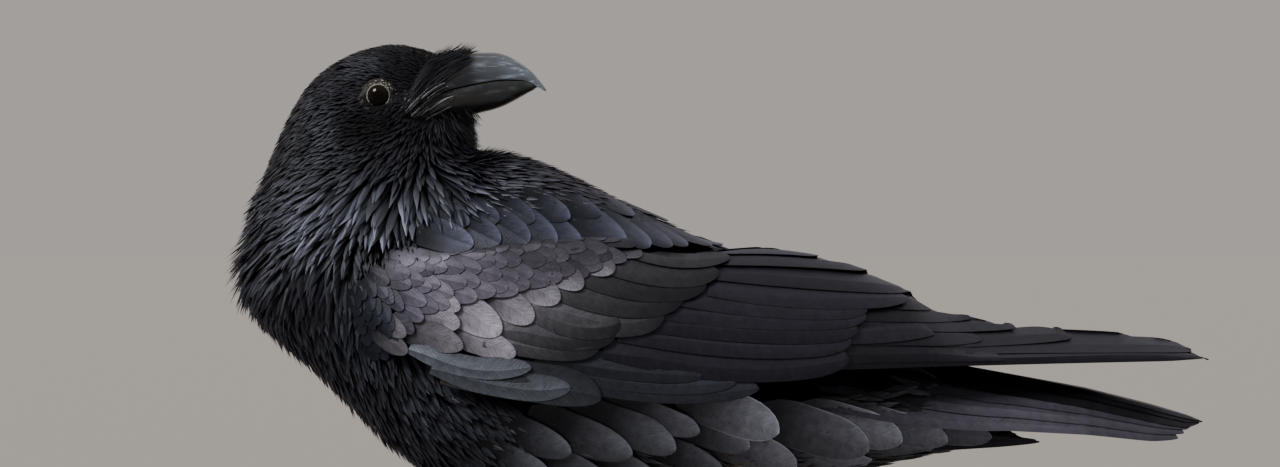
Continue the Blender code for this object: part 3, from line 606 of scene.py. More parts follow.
def near_spot(places, middle, reach):
    """How near places are to a spot in the side view: 1 in its middle, fading to 0."""
    away = [(places[:, axis] - middle[k]) / reach[k] for k, axis in enumerate((0, 2))]
    return np.exp(-(away[0] ** 2) - away[1] ** 2)


class Surface:
    """A surface of triangles or quads in millimetres, which points are laid on."""

    def __init__(self, points, faces):
        self.tree = BVHTree.FromPolygons(points.tolist(), faces.tolist())

    def nearest(self, points):
        """The nearest places on the surface, the normals there and the faces."""
        found = [self.tree.find_nearest(point) for point in points.tolist()]
        places = np.array([f[0][:] for f in found])
        normals = np.array([f[1][:] for f in found])
        return places, normals, np.array([f[2] for f in found])


class Skin(Surface):
    """The outside of the form, which feathers are laid on, with the skin's unwrap."""

    def __init__(self, points, faces, unwrap):
        super().__init__(points, faces)
        self.corners, self.unwrap = points[faces], unwrap

    def unwrap_at(self, places, found):
        """Where places on the given faces lie on the unwrap."""
        a, b, c = self.corners[found].transpose(1, 0, 2)
        normal = np.cross(b - a, c - a)
        area = np.maximum((normal * normal).sum(axis=1), 1e-12)
        second = (np.cross(c - places, a - places) * normal).sum(axis=1) / area
        third = (np.cross(a - places, b - places) * normal).sum(axis=1) / area
        shares = np.stack([1 - second - third, second, third], axis=1)
        return (self.unwrap[found] * np.clip(shares, 0, 1)[:, :, None]).sum(axis=1)

    def root_uv(self, place):
        at, _, found = self.nearest(np.array([place]))
        return self.unwrap_at(at, found)[0]


# ---------------------------------------------------------------- form and skin


def grown(bm, amount):
    for vertex in bm.verts:
        vertex.co += vertex.normal * amount
    return bm


def closed_wing(name, end_x):
    """A folded wing up to one x."""
    bm = copy_of(name)
    geometry = bm.verts[:] + bm.edges[:] + bm.faces[:]
    bmesh.ops.bisect_plane(bm, geom=geometry, plane_co=(end_x, 0, 0), plane_no=(1, 0, 0), clear_outer=True)
    bmesh.ops.holes_fill(bm, edges=[edge for edge in bm.edges if edge.is_boundary])
    bm.normal_update()
    return bm


def make_form(wing_end):
    """One smooth mesh over the body and the folded wings: the surface that the coat's outside follows."""
    whole = bmesh.new()
    wings = [closed_wing(f"wing_{side}", wing_end) for side, _ in SIDES]
    for bm in [copy_of(name) for name in FLESH + FILLED] + wings:
        piece = bpy.data.meshes.new("piece")
        grown(bm, OVERLAP).to_mesh(piece)
        bm.free()
        whole.from_mesh(piece)
        bpy.data.meshes.remove(piece)
    rough = add_bmesh("rough", whole)
    remesh = rough.modifiers.new("remesh", "REMESH")
    remesh.mode = "VOXEL"
    remesh.voxel_size = VOXEL
    mesh = bpy.data.meshes.new_from_object(rough.evaluated_get(bpy.context.evaluated_depsgraph_get()))
    bpy.data.objects.remove(rough)
    bm = bmesh.new()
    bm.from_mesh(mesh)
    keep_largest(bm)
    bm.to_mesh(mesh)
    bm.free()
    points = mesh_array(mesh.vertices, "co", 3)
    edges = mesh_array(mesh.edges, "vertices", 2, np.int32)
    points = relaxed(points, edges, FORM_SMOOTHING)
    below, above, last, height = UNDERTAIL_POINT
    first = np.where(points[:, 2] < height, below, above)
    pinch = ramp(points[:, 0], first, last - first) ** UNDERTAIL_CURVE
    points[:, 2] += (height - points[:, 2]) * pinch * UNDERTAIL_SHARE
    mesh.vertices.foreach_set("co", points.ravel())
    mesh.update()
    return add_mesh("skin", mesh)


def keep_largest(bm):
    """Leaves only the largest piece of a mesh."""
    left, largest = set(bm.verts), []
    while left:
        found = [left.pop()]
        for vertex in found:
            for edge in vertex.link_edges:
                other = edge.other_vert(vertex)
                if other in left:
                    left.discard(other)
                    found.append(other)
        if len(found) > len(largest):
            largest = found
    kept = set(largest)
    bmesh.ops.delete(bm, geom=[v for v in bm.verts if v not in kept], context="VERTS")


def place_values(table, points):
    """The table's values at points: lie (3), then length, width, depth, lift and spacing, then tint (3)."""
    rows = np.array([row[:10] for row in table], float)
    tints = np.array([linear(TINTS[row[10]]) for row in table])
    values = np.concatenate([rows[:, 3:10], tints], axis=1)
    scale = np.array([1.0, ACROSS_SHARE, 1.0])
    at = np.concatenate([points[:, :1], np.abs(points[:, 1:2]), points[:, 2:]], axis=1) * scale
    result = np.empty((len(points), values.shape[1]))
    for part in np.array_split(np.arange(len(points)), len(points) // 20000 + 1):  # to save memory
        gaps = ((at[part, None, :] - rows[None, :, :3] * scale) ** 2).sum(axis=2) + PLACE_CORE
        weights = gaps**PLACE_POWER
        result[part] = weights @ values / weights.sum(axis=1, keepdims=True)
    lie = np.stack([result[:, 0], np.zeros(len(points)), result[:, 1]], axis=1)
    return lie, result[:, 2:7], result[:, 7:]


def unwrapped(form):
    """Makes the form's faces triangles, with an unwrap named OFBake."""
    bpy.context.view_layer.objects.active = form
    form.select_set(True)
    bpy.ops.object.mode_set(mode="EDIT")
    bpy.ops.mesh.select_all(action="SELECT")
    bpy.ops.uv.smart_project(angle_limit=UNWRAP_ANGLE, island_margin=UNWRAP_MARGIN)
    bpy.ops.mesh.quads_convert_to_tris()
    bpy.ops.object.mode_set(mode="OBJECT")
    form.data.uv_layers[0].name = "OFBake"
    return form.data


def under_wing(places):
    inside = inside_outline(places, WING_OUTLINE)
    return inside & (np.abs(places[:, 1]) > UNDER_WING_FROM) & (places[:, 2] < UNDER_WING_TOP)


def make_skin(form):
    """Sinks the form by the coat's depth, and returns the surface that it had."""
    mesh = unwrapped(form)
    points = mesh_array(mesh.vertices, "co", 3)
    faces = corners_of(mesh, 3)
    unwrap = mesh_array(mesh.uv_layers["OFBake"].data, "uv", 2).reshape(-1, 3, 2)
    normals = mesh_array(mesh.vertices, "normal", 3)
    _, sizes, tints = place_values(PLACES, points)
    depth = sizes[:, 2] + BARE_DEPTH + under_wing(points) * UNDER_WING_DEPTH
    depth = depth + BILL_BASE_DEPTH * ramp(points[:, 0], *BILL_BASE_X) * ramp(points[:, 2], *BILL_BASE_Z)
    depth = depth + GAPE_DEPTH * near_spot(points, GAPE_MIDDLE, GAPE_REACH)
    tree = BVHTree.FromPolygons(points.tolist(), faces.tolist())
    hits = [tree.ray_cast(Vector(p - n * 0.05), Vector(-n))[3] for p, n in zip(points, normals)]
    thickness = np.array([hit or NO_FAR_SIDE for hit in hits])
    sunk = points - normals * np.minimum(depth, THIN_SHARE * thickness)[:, None]
    sunk = relaxed(sunk, mesh_array(mesh.edges, "vertices", 2, np.int32), SKIN_SMOOTHING)
    mesh.vertices.foreach_set("co", (sunk * MM).ravel())
    colour_points(mesh, tints * SKIN_SHADE)
    mesh.update()
    mesh.shade_smooth()
    return Skin(points, faces, unwrap)


# ---------------------------------------------------------------- feathers


class Vane:
    """A closed thin leaf: each point's row, place across (-1 to 1) and side (under is 1), and the faces."""

    def __init__(self, rows, across=(-1.0, 0.0, 1.0), ridged=True):
        columns = len(across)
        bm = bmesh.new()
        bmesh.ops.create_grid(bm, x_segments=columns - 1, y_segments=rows - 1, size=1.0)
        made = bmesh.ops.duplicate(bm, geom=bm.faces[:])["geom"]
        bmesh.ops.reverse_faces(bm, faces=[item for item in made if isinstance(item, bmesh.types.BMFace)])
        for vertex in [item for item in made if isinstance(item, bmesh.types.BMVert)]:
            if max(abs(vertex.co.x), abs(vertex.co.y)) < 0.999:
                vertex.co.z = -1.0
        bmesh.ops.remove_doubles(bm, verts=bm.verts, dist=1e-4)
        bm.verts.index_update()
        at = np.array([vertex.co[:] for vertex in bm.verts])
        self.faces = np.array([[vertex.index for vertex in face.verts] for face in bm.faces])
        bm.free()
        self.column = np.rint((at[:, 0] + 1) / 2 * (columns - 1)).astype(int)
        self.row = np.rint((at[:, 1] + 1) / 2 * (rows - 1)).astype(int)
        self.columns = np.array(across)
        self.across = self.columns[self.column]
        self.under = (at[:, 2] < -0.5).astype(float)
        self.rim = np.maximum(np.abs(at[:, 0]), np.abs(at[:, 1])) > 0.999
        self.ridge = (np.abs(self.across) < 0.001) & (self.under < 0.5) & ridged
        self.rows = rows


BROAD = (-1.0, -0.93, -0.5, 0.0, 0.5, 0.93, 1.0)


class Coat:
    """Feathers gathered for one piece."""

    def __init__(self):
        self.groups = []

    def add(self, vane, points, vane_uv, tint, root_uv):
        """points: (feathers, vane's points, 3); vane_uv: (.., 2); tint: (.., 3); root_uv: (feathers, 2)."""
        spread = np.stack([vane.across, 2.0 * vane.row / (vane.rows - 1) - 1.0], axis=1) * BAKE_PATCH
        self.groups.append((vane, points, vane_uv, tint, root_uv[:, None, :] + spread[None]))

    def mesh(self, name):
        start, faces, rims, ridges, parts = 0, [], [], [], [[], [], [], []]
        for vane, *arrays in self.groups:
            count, size = arrays[0].shape[:2]
            offsets = start + np.arange(count) * size
            faces.append((vane.faces[None] + offsets[:, None, None]).reshape(-1, 4))
            rims.append(np.tile(vane.rim, count))
            ridges.append(np.tile(vane.ridge, count))
            for part, array in zip(parts, arrays):
                part.append(array.reshape(count * size, -1))
            start += count * size
        faces, rims, ridges = np.concatenate(faces), np.concatenate(rims), np.concatenate(ridges)
        points, vane_uv, tint, bake = (np.concatenate(part) for part in parts)
        mesh = bpy.data.meshes.new(name)
        mesh.vertices.add(len(points))
        mesh.vertices.foreach_set("co", (points * MM).astype(np.float32).ravel())
        mesh.loops.add(faces.size)
        mesh.loops.foreach_set("vertex_index", faces.astype(np.int32).ravel())
        mesh.polygons.add(len(faces))
        mesh.polygons.foreach_set("loop_start", np.arange(0, faces.size, 4, dtype=np.int32))
        mesh.update(calc_edges=True)
        order = faces.ravel()
        for layer, values in (("OFBake", bake), ("vane", vane_uv)):
            mesh.uv_layers.new(name=layer).data.foreach_set("uv", values[order].astype(np.float32).ravel())
        colour_points(mesh, tint)
        ends = mesh_array(mesh.edges, "vertices", 2, np.int32)
        mesh.shade_smooth()
        sharp = (rims[ends[:, 0]] & rims[ends[:, 1]]) | (ridges[ends[:, 0]] & ridges[ends[:, 1]])
        mesh.attributes.new("sharp_edge", "BOOLEAN", "EDGE").data.foreach_set("value", sharp)
        return add_mesh(name, mesh)


# A small feather's half-width at each row of points, against its greatest
POINTED = np.array([0.35, 0.85, 0.8, 0.05])
LANCE = np.array([0.3, 0.75, 1.0, 0.8, 0.04])


def scattered_lie(lie):
    """Directions, each turned a little in the side view."""
    scatter = RNG.normal(0.0, LIE_SCATTER, len(lie))
    return unit(np.stack([
        lie[:, 0] * np.cos(scatter) - lie[:, 2] * np.sin(scatter),
        np.zeros(len(lie)),
        lie[:, 0] * np.sin(scatter) + lie[:, 2] * np.cos(scatter),
    ], axis=1))


def shaded(tint, steps, across):
    """The feathers' colours: a painted shade at their roots growing to a painted highlight at their tips,
    uneven from one to the next, and a painted sheen that makes one side paler.
    """
    uneven = np.exp(np.clip(RNG.normal(0.0, UNEVEN, len(tint)), DARKEST, PALEST))
    shade = uneven[:, None] * (PAINTED_ROOT_SHADE + PAINTED_TIP_HIGHLIGHT * steps[None] ** SHADE_CURVE)
    shade = np.minimum(shade * np.exp(PAINTED_SIDE_SHEEN * across), BRIGHTEST)
    return tint[:, None, :] * shade[:, :, None]


def small_feathers(coat, shape, skin, roots, found, values, bow):
    """Lays small feathers from their roots on the skin up to the outside of the coat."""
    lie, sizes, tint = values
    vane, count = Vane(len(shape)), len(roots)
    length, width, depth, lift = sizes[:, :4].T
    length = length * RNG.uniform(*LENGTH_SCATTER, count)
    aim = scattered_lie(lie)
    twist = RNG.normal(0.0, TWIST_SCATTER, count)[:, None]
    lifts = lift * RNG.uniform(*LIFT_SCATTER, count)
    rise = RNG.uniform(*RISE_SCATTER, count) * bow / BODY_BOW
    steps = np.linspace(0.0, 1.0, vane.rows)
    place, normal, _ = skin.nearest(roots)
    axis, cross, up = [], [], []
    for k, share in enumerate(steps):
        if k:
            place, normal, _ = skin.nearest(place + aim * (length * (share - steps[k - 1]))[:, None])
        aim = unit(aim - (aim * normal).sum(axis=1, keepdims=True) * normal)
        height = -depth * (1 - share) ** RISE_CURVE + (rise + lifts * share) * share
        axis.append(place + normal * height[:, None])
        side = np.cross(aim, normal)
        cross.append(side * np.cos(twist) + normal * np.sin(twist))
        up.append(normal * np.cos(twist) - side * np.sin(twist))
    axis, cross, up = (np.stack(part, axis=1)[:, vane.row] for part in (axis, cross, up))
    half = (width[:, None] / 2) * shape[vane.row][None]
    across = vane.across[None]
    points = axis + cross * (half * across)[:, :, None]
    raised = half * (bow * (1 - across**2) - LEAF_THICKNESS * vane.under[None])
    points = points + up * raised[:, :, None]
    steps = steps[vane.row]
    vane_uv = np.stack([half * across, steps[None] * length[:, None]], axis=2) / 10
    coat.add(vane, points, vane_uv, shaded(tint, steps, across), skin.unwrap_at(roots, found))


def scattered(skin, allowed, table):
    """Seeded roots over the form, as far apart as the table says: places, faces and values."""
    corners = skin.corners
    middles = corners.mean(axis=1)
    areas = np.linalg.norm(np.cross(corners[:, 1] - corners[:, 0], corners[:, 2] - corners[:, 0]), axis=1) / 2
    _, sizes, _ = place_values(table, middles)
    weights = areas / sizes[:, 4] ** 2 * allowed(middles)
    total = int(weights.sum() * CANDIDATES)
    picked = RNG.choice(len(corners), total, p=weights / weights.sum())
    one, two = np.sqrt(RNG.random(total)), RNG.random(total)
    shares = np.stack([1 - one, one * (1 - two), one * two], axis=1)
    places = (corners[picked] * shares[:, :, None]).sum(axis=1)
    _, sizes, _ = place_values(table, places)
    tree = KDTree(total)
    for i, place in enumerate(places.tolist()):
        tree.insert(place, i)
    tree.balance()
    alive, kept = np.ones(total, bool), []
    for i, (place, gap) in enumerate(zip(places.tolist(), sizes[:, 4].tolist())):
        if alive[i]:
            kept.append(i)
            for _, other, _ in tree.find_range(place, gap * CLOSEST):
                alive[other] = False
    kept = np.array(kept)
    return places[kept], picked[kept], place_values(table, places[kept])


def inside_outline(places, outline):
    """Whether places lie inside a closed outline in the side view."""
    x, z = places[:, 0], places[:, 2]
    inside = np.zeros(len(x), bool)
    for (x0, z0), (x1, z1) in zip(outline, outline[1:] + outline[:1]):
        crosses = (z0 > z) != (z1 > z)
        reach = (x1 - x0) * (z - z0) / ((z1 - z0) or 1e-9) + x0
        inside ^= crosses & (x < reach)
    return inside


# ---------------------------------------------------------------- wing and tail


class Sheet(Surface):
    """The outer face of one side, as a smooth grid of places from front to back and from low to high."""

    def __init__(self, tree, side, xs, low, high, roofed=False):
        rows = []
        for x, first, last in zip(xs, low, high):
            rows.append(self.swept(tree, side, x, first, last, rows))
        grid = smooth_grid(np.array(rows), SHEET_SMOOTHING)
        if roofed:
            roof = np.array([self.roof(row) for row in grid])
            share = ramp(xs, ROOF_FROM, ROOF_FULL - ROOF_FROM)[:, None, None]
            grid = grid * (1 - share) + roof * share
            grid[-1, :, 1] = grid[-2, :, 1]  # at the very tip the rays miss the wing
        grid = grid[:, SHEET_TRIM:]
        hanging = np.arange(SKIRT_STEPS, 0, -1)[None, :, None] * -SKIRT_STEP * UP
        self.grid = np.concatenate([grid[:, :1] + hanging, grid], axis=1)
        self.first_x, self.step_x = xs[0], xs[1] - xs[0]
        super().__init__(self.grid.reshape(-1, 3), grid_faces(self.grid, -side))

    @staticmethod
    def swept(tree, side, x, first, last, rows):
        """The outer places at one x, between two angles up from level; where a ray misses, the last row's."""
        centre = Vector((x, 0.0, axis_height(x)))
        row = []
        for share in np.linspace(*SHEET_SPAN, SHEET_ROWS):
            turn = math.radians(first * (1 - share) + last * share)
            out = Vector((0.0, side * math.cos(turn), math.sin(turn)))
            hit = tree.ray_cast(centre + out * RAY_FROM, -out)[0]
            row.append(hit or (rows[-1][len(row)] if rows else centre))
        return [(x, *point[1:]) for point in row]

    @staticmethod
    def roof(row):
        """A row of places that leans from its side straight up to the wing's top edge."""
        edge_x, edge_z = np.array(ROOF_EDGE).T
        top = np.interp(row[0, 0], edge_x, edge_z)
        heights = rising(row[:, 2])
        cut = heights[0] + ROOF_SIDE * (heights[-1] - heights[0])
        z = np.linspace(heights[0], top, len(row))
        over = ramp(z, cut, top - cut)
        y = np.interp(np.minimum(z, cut), heights, row[:, 1])
        return np.stack([row[:, 0], y * (1 - over) + np.sign(y) * ROOF_Y * over, z], axis=1)

    def at_side(self, x, z):
        """The place that is seen at x and z from the side, or the nearest one at that x."""
        at = min(max((x - self.first_x) / self.step_x, 0.0), len(self.grid) - 1.001)
        row = self.grid[int(at)] * (1 - at % 1) + self.grid[int(at) + 1] * (at % 1)
        lowest, highest = int(row[:, 2].argmin()), int(row[:, 2].argmax()) + 1
        heights = rising(row[lowest:highest, 2])
        z = min(max(z, heights[0]), heights[-1])
        return (row[0, 0], np.interp(z, heights, row[lowest:highest, 1]), z)


def axis_height(x):
    axis_x, axis_z = np.array(WING_AXIS).T
    return np.interp(x, axis_x, axis_z)


def rising(heights):
    """Heights with each one at least a trace above the one before."""
    return np.maximum.accumulate(heights) + np.arange(len(heights)) * LEAST_RISE


def smooth_grid(grid, rounds):
    for _ in range(rounds):
        grid[1:-1] = (grid[:-2] + 2 * grid[1:-1] + grid[2:]) / 4
        grid[:, 1:-1] = (grid[:, :-2] + 2 * grid[:, 1:-1] + grid[:, 2:]) / 4
    return grid


def grid_faces(grid, turn):
    """Quads over a grid of places; turn is 1 or -1, whichever makes them face outwards."""
    rows, columns = grid.shape[:2]
    index = np.arange(rows * columns).reshape(rows, columns)
    faces = np.stack([index[:-1, :-1], index[1:, :-1], index[1:, 1:], index[:-1, 1:]], axis=-1).reshape(-1, 4)
    return faces if turn > 0 else faces[:, ::-1]


def wing_sheet(side):
    """The folded wing's outer face, read off the CAD wing."""
    bm = copy_of("wing_left" if side < 0 else "wing_right")
    tree = BVHTree.FromBMesh(bm)
    at = np.array([vertex.co[:] for vertex in bm.verts])
    bm.free()
    angle = np.degrees(np.arctan2(at[:, 2] - axis_height(at[:, 0]), np.abs(at[:, 1])))
    stations = np.unique(np.round(at[:, 0], 1))
    near = [np.abs(at[:, 0] - x) < STATION_NEAR for x in stations]
    low = np.array([angle[n].min() for n in near])
    high = np.array([min(RIDGE_ANGLE, angle[n][at[n, 2].argmax()] + PAST_RIDGE) for n in near])
    xs = np.linspace(stations[0] + WING_ENDS[0], stations[-1] - WING_ENDS[1], WING_COLUMNS)
    return Sheet(tree, side, xs, np.interp(xs, stations, low), np.interp(xs, stations, high), True)


def body_sheet(surface, side, first_x, last_x, low, high):
    """The outer face of one side of the body between two x's and two angles up from level."""
    xs = np.linspace(first_x, last_x, BODY_COLUMNS)
    return Sheet(surface.tree, side, xs, np.full(BODY_COLUMNS, low), np.full(BODY_COLUMNS, high))


def tail_sheet():
    """The folded tail's upper face: an arch that is highest along the middle."""
    xs = np.linspace(TAIL_STATIONS[0][0], TAIL_STATIONS[-1][0] - WING_ENDS[1], TAIL_GRID[0])
    stations = np.array(TAIL_STATIONS)
    crest, half, drop = (np.interp(xs, stations[:, 0], stations[:, k])[:, None] for k in (1, 2, 3))
    a = np.linspace(-1.0, 1.0, TAIL_GRID[1])[None]
    grid = np.stack([np.broadcast_to(xs[:, None], TAIL_GRID), half * a, crest - drop * a**2], axis=2)
    return Surface(grid.reshape(-1, 3), grid_faces(grid, 1.0)), grid


def bow_through(first, middle, last, share):
    """A smooth curve through three points."""
    control = 2 * middle - (first + last) / 2
    return (1 - share) ** 2 * first + 2 * share * (1 - share) * control + share**2 * last


def walked(surface, start, up, steps):
    """Places and normals on a surface, reached from the start points by steps across it: (rows, columns, 3).

    A row that comes to the surface's end stays there.
    """
    place, normal, _ = surface.nearest(start + up * steps[:, :1])
    places, normals = [place], [normal]
    ended = np.zeros((len(steps), 1), bool)
    for k in range(1, steps.shape[1]):
        up = unit(up - (up * normal).sum(axis=1, keepdims=True) * normal)
        step = (steps[:, k] - steps[:, k - 1])[:, None]
        reached, turned, _ = surface.nearest(place + up * step)
        ended |= np.linalg.norm(reached - place, axis=1, keepdims=True) < LEAST_OF_STEP * step
        place, normal = np.where(ended, place, reached), np.where(ended, normal, turned)
        places.append(place)
        normals.append(normal)
    return np.stack(places, axis=1), np.stack(normals, axis=1)


def worn(places, amount):
    """The painted highlight on a covert at a place of the wing: paler round the spot that catches the light,
    a little darker away from it.
    """
    return 1 + amount * (SHEEN_SPOT_MOST * near_spot(places, SHEEN_SPOT_MIDDLE, SHEEN_SPOT_REACH) - SHEEN_SPOT_LESS)


def big_feather(coat, vane, surface, edge, side, width, style, heights, tint, root_uv, taper=0.0):
    """One broad feather whose lower edge, or whose quill, follows the given places."""
    steps = eased(vane.rows)
    _, normal, _ = surface.nearest(edge)
    aim = unit(np.gradient(edge, axis=0))
    up = unit(np.cross(aim, normal)) * side
    lengths = np.concatenate([[0.0], np.cumsum(np.linalg.norm(np.diff(edge, axis=0), axis=1))])
    rounds_at = max(style.rounds_at, 1 - LONGEST_ROUNDING / lengths[-1])
    tip = ramp(steps, rounds_at, 1 - rounds_at)
    profile = np.minimum(1.0, ROOT_WIDTH + ROOT_GROWTH * steps) * np.maximum((1 - tip**2) ** 0.5, TIP_WIDTH)
    profile = profile * (1 - taper * steps)
    part = np.where(vane.columns < 0, style.below, 1 - style.below) * width * profile[:, None] * vane.columns
    quill_up = style.below * profile + style.tip * np.where(steps > 0.5, 1 - profile, 0.0)
    from_edge = quill_up[:, None] * width + part
    places, normals = walked(surface, edge, up, part if style.by_quill else from_edge)
    gone = np.cumsum(np.linalg.norm(np.diff(places, axis=1), axis=2), axis=1)
    from_edge[:, 1:] = np.minimum(from_edge[:, 1:], from_edge[:, :1] + gone)  # less where the surface ends
    across, profile, steps = vane.across, profile[vane.row], steps[vane.row]
    part, from_edge = part[vane.row, vane.column], from_edge[vane.row, vane.column]
    quill = np.exp(-((across / QUILL_WIDTH) ** 2)) * QUILL_HEIGHT * style.bow * (1 - QUILL_HEIGHT * steps)
    drop = from_edge * style.slope if style.slope > 0 else (width - from_edge) * -style.slope
    height = heights[0] + (heights[1] - heights[0]) * steps - drop
    height = height + style.bow * (1 - np.abs(across)) * profile + quill
    height = height - vane.under * (BIG_THICKNESS + quill)
    points = places[vane.row, vane.column] + normals[vane.row, vane.column] * height[:, None]
    vane_uv = np.stack([part / 10, lengths[vane.row] / 10], axis=1)
    # The tint carries painted light: the rim's painted shadow line and edge highlight, a painted sheen on one
    # side of the quill, painted shade and sheen along the feather, and the painted highlight in the middle of
    # the wing.
    shade = np.where(vane.rim & (steps > RIM_FROM), style.rim_tone, 1.0) * np.exp(style.contrast * across)
    along = np.maximum(style.root_tone + (style.tip_tone - style.root_tone) * steps, LEAST_TONE)
    shade = shade * along * worn(points, style.worn)
    coat.add(vane, points[None], vane_uv[None], (tint[None] * shade[:, None])[None], root_uv[None])


def lay_row(coat, row, sheet, side, skin):
    vane = Vane(row.points, BROAD, row.ridged)
    steps = eased(vane.rows)[:, None]
    for order, (x0, z0, x1, z1, x2, z2, width, *own) in enumerate(row.feathers):
        shift = RNG.normal(0.0, EDGE_SCATTER, 2) * TIP_SCATTER
        flat = bow_through(np.array([x0, z0]), np.array([x1, z1]), np.array([x2, z2]) + shift, steps)
        edge = np.array([sheet.at_side(x, z) for x, z in flat.tolist()])
        edge = np.concatenate([edge[:1], (edge[:-2] + 2 * edge[1:-1] + edge[2:]) / 4, edge[-1:]])
        tone = own[0] if own else math.exp(RNG.normal(0.0, COLOUR_SCATTER))
        heights = np.array(row.heights) - row.style.step * order + RNG.normal(0.0, HEIGHT_SCATTER)
        taper = own[1] if len(own) > 1 else 0.0
        colour = linear(TINTS[row.tint]) * tone
        root_uv = skin.root_uv(edge[0])
        big_feather(coat, vane, sheet, edge, side, width, row.style, heights, colour, root_uv, taper)


def tail_edge(grid, side, root_share, tip_share, tip_x, steps):
    """The lower edge of a tail feather, on the grid of the tail's upper face."""
    first_x, last_x = grid[0, 0, 0], grid[-1, 0, 0]
    xs = first_x + (tip_x - first_x) * steps
    shares = root_share * (1 - steps) + tip_share * steps
    at = ramp(xs, first_x, last_x - first_x) * (len(grid) - 1)
    columns = np.linspace(-1.0, 1.0, grid.shape[1])
    edge = []
    for k, share in zip(at, shares):
        low = min(int(k), len(grid) - 2)
        row = grid[low] + (k - low) * (grid[low + 1] - grid[low])
        edge.append([np.interp(side * share, columns, row[:, c]) for c in range(3)])
    return np.array(edge)


def lay_tail(coat, skin):
    surface, grid = tail_sheet()
    vane = Vane(TAIL_POINTS, BROAD)
    for _, side in SIDES:
        for order, (root_share, tip_share, tip_x, width) in enumerate(RECTRICES):
            edge = tail_edge(grid, side, root_share, tip_share, tip_x, eased(vane.rows))
            colour = linear(TINTS["tail"]) * math.exp(RNG.normal(0.0, TAIL_SCATTER))
            heights = np.array(TAIL_HEIGHTS) - TAIL_STEP * order
            # dark: the feather carries the painted shadow of the wing; the others carry the painted light and
            # edge highlight.
            dark = order < TAIL_SHADED_PAIRS
            style = TAIL_STYLE if dark else TAIL_STYLE._replace(rim_tone=TAIL_EDGE_HIGHLIGHT)
            colour = colour * (TAIL_PAINTED_SHADOW if dark else TAIL_PAINTED_LIGHT)
            root_uv = skin.root_uv(edge[0])
            big_feather(coat, vane, surface, edge, side, width, style, heights, colour, root_uv, TAIL_TAPER)


# ---------------------------------------------------------------- bill, eyes and legs


def loft(bm, rings, joined=False):
    """Adds a tube through rings of equally many points, with its ends closed or joined to each other."""
    loops = [[bm.verts.new(tuple(point)) for point in ring] for ring in rings]
    count = len(loops[0])
    for near, far in zip(loops, loops[1:] + loops[: int(joined)]):
        for i in range(count):
            bm.faces.new((near[i], near[(i + 1) % count], far[(i + 1) % count], far[i]))
    if not joined:
        bm.faces.new(loops[0][::-1])
        bm.faces.new(loops[-1])


def finish_loft(bm, name, sharp=60.0):
    bmesh.ops.recalc_face_normals(bm, faces=bm.faces)
    obj = add_bmesh(name, bm, MM)
    obj.data.set_sharp_from_angle(angle=math.radians(sharp))
    return obj


def smooth_rows(rows, steps):
    """Rows of numbers with steps - 1 more between each pair, on a Catmull-Rom curve through them."""
    run = np.array([2 * np.array(rows[0]) - rows[1], *rows, 2 * np.array(rows[-1]) - rows[-2]])
    made = []
    for a, b, c, d in zip(run, run[1:], run[2:], run[3:]):
        for t in np.arange(steps) / steps:
            made.append(0.5 * (2 * b + (c - a) * t + (2 * a - 5 * b + 4 * c - d) * t**2
                               + (3 * b - a - 3 * c + d) * t**3))
    return np.array([*made, run[-2]])


def head_turned(points):
    """Points of the head, swung about the neck's upright axis with the head's turn."""
    axis = np.array([HEAD_AXIS_X, 0.0, 0.0])
    return (points - axis) @ np.array(Matrix.Rotation(-HEAD_TURN, 3, "Z")).T + axis


def bill_points(x, angle, upper, lift=0.0):
    """Places on half of the bill, from one side of its edge (0) over the ridge to the other side (pi)."""
    rows = smooth_rows(BILL_STATIONS, BILL_STEPS)
    culmen, tomium, gonys, half = (np.interp(x, rows[:, 0], rows[:, k]) for k in (1, 2, 3, 4))
    gap = MOUTH_GAP * np.clip((LOWER_END - GAP_CLOSES - x) / GAP_RUN, GAP_OVERLAP, 1.0)
    edge = tomium + (gap if upper else -gap)
    reach = (culmen if upper else gonys) - edge
    lip = 1 - LIP_DEPTH * np.exp(-np.minimum(angle, math.pi - angle) / LIP_WIDTH)
    if not upper:
        end = np.clip((LOWER_END - x) / LOWER_ROUNDING, LOWER_LEAST, 1.0) ** 0.5
        reach, half = reach * end, half * LOWER_WIDTH * end
    width = half * lip + lift
    flat = np.cos(angle)
    across = width * np.sign(flat) * np.abs(flat) ** BILL_FLANK
    up = edge + (reach + np.sign(reach) * lift) * np.maximum(np.sin(angle), 0.0) ** BILL_BOW
    x, across, up = np.broadcast_arrays(x, across, up)
    return head_turned(np.stack([x, across, up], axis=-1))


def make_bill_half(name, upper):
    angles = np.linspace(0.0, math.pi, BILL_POINTS)
    first_x, tip_x = BILL_STATIONS[0][0], BILL_STATIONS[-1][0]
    rings = []
    for x in np.linspace(first_x, tip_x if upper else LOWER_END, BILL_RINGS):
        outer = bill_points(x, angles, upper)
        inner = [outer[-1] * (1 - t) + outer[0] * t for t in HOLLOW_AT]
        hollow = UP * (MOUTH_HOLLOW if upper else -MOUTH_HOLLOW) * min(1.0, (tip_x - x) / HOLLOW_RUN)
        rings.append(np.concatenate([outer, inner + hollow]))
    bm = bmesh.new()
    loft(bm, rings)
    return finish_loft(bm, name)


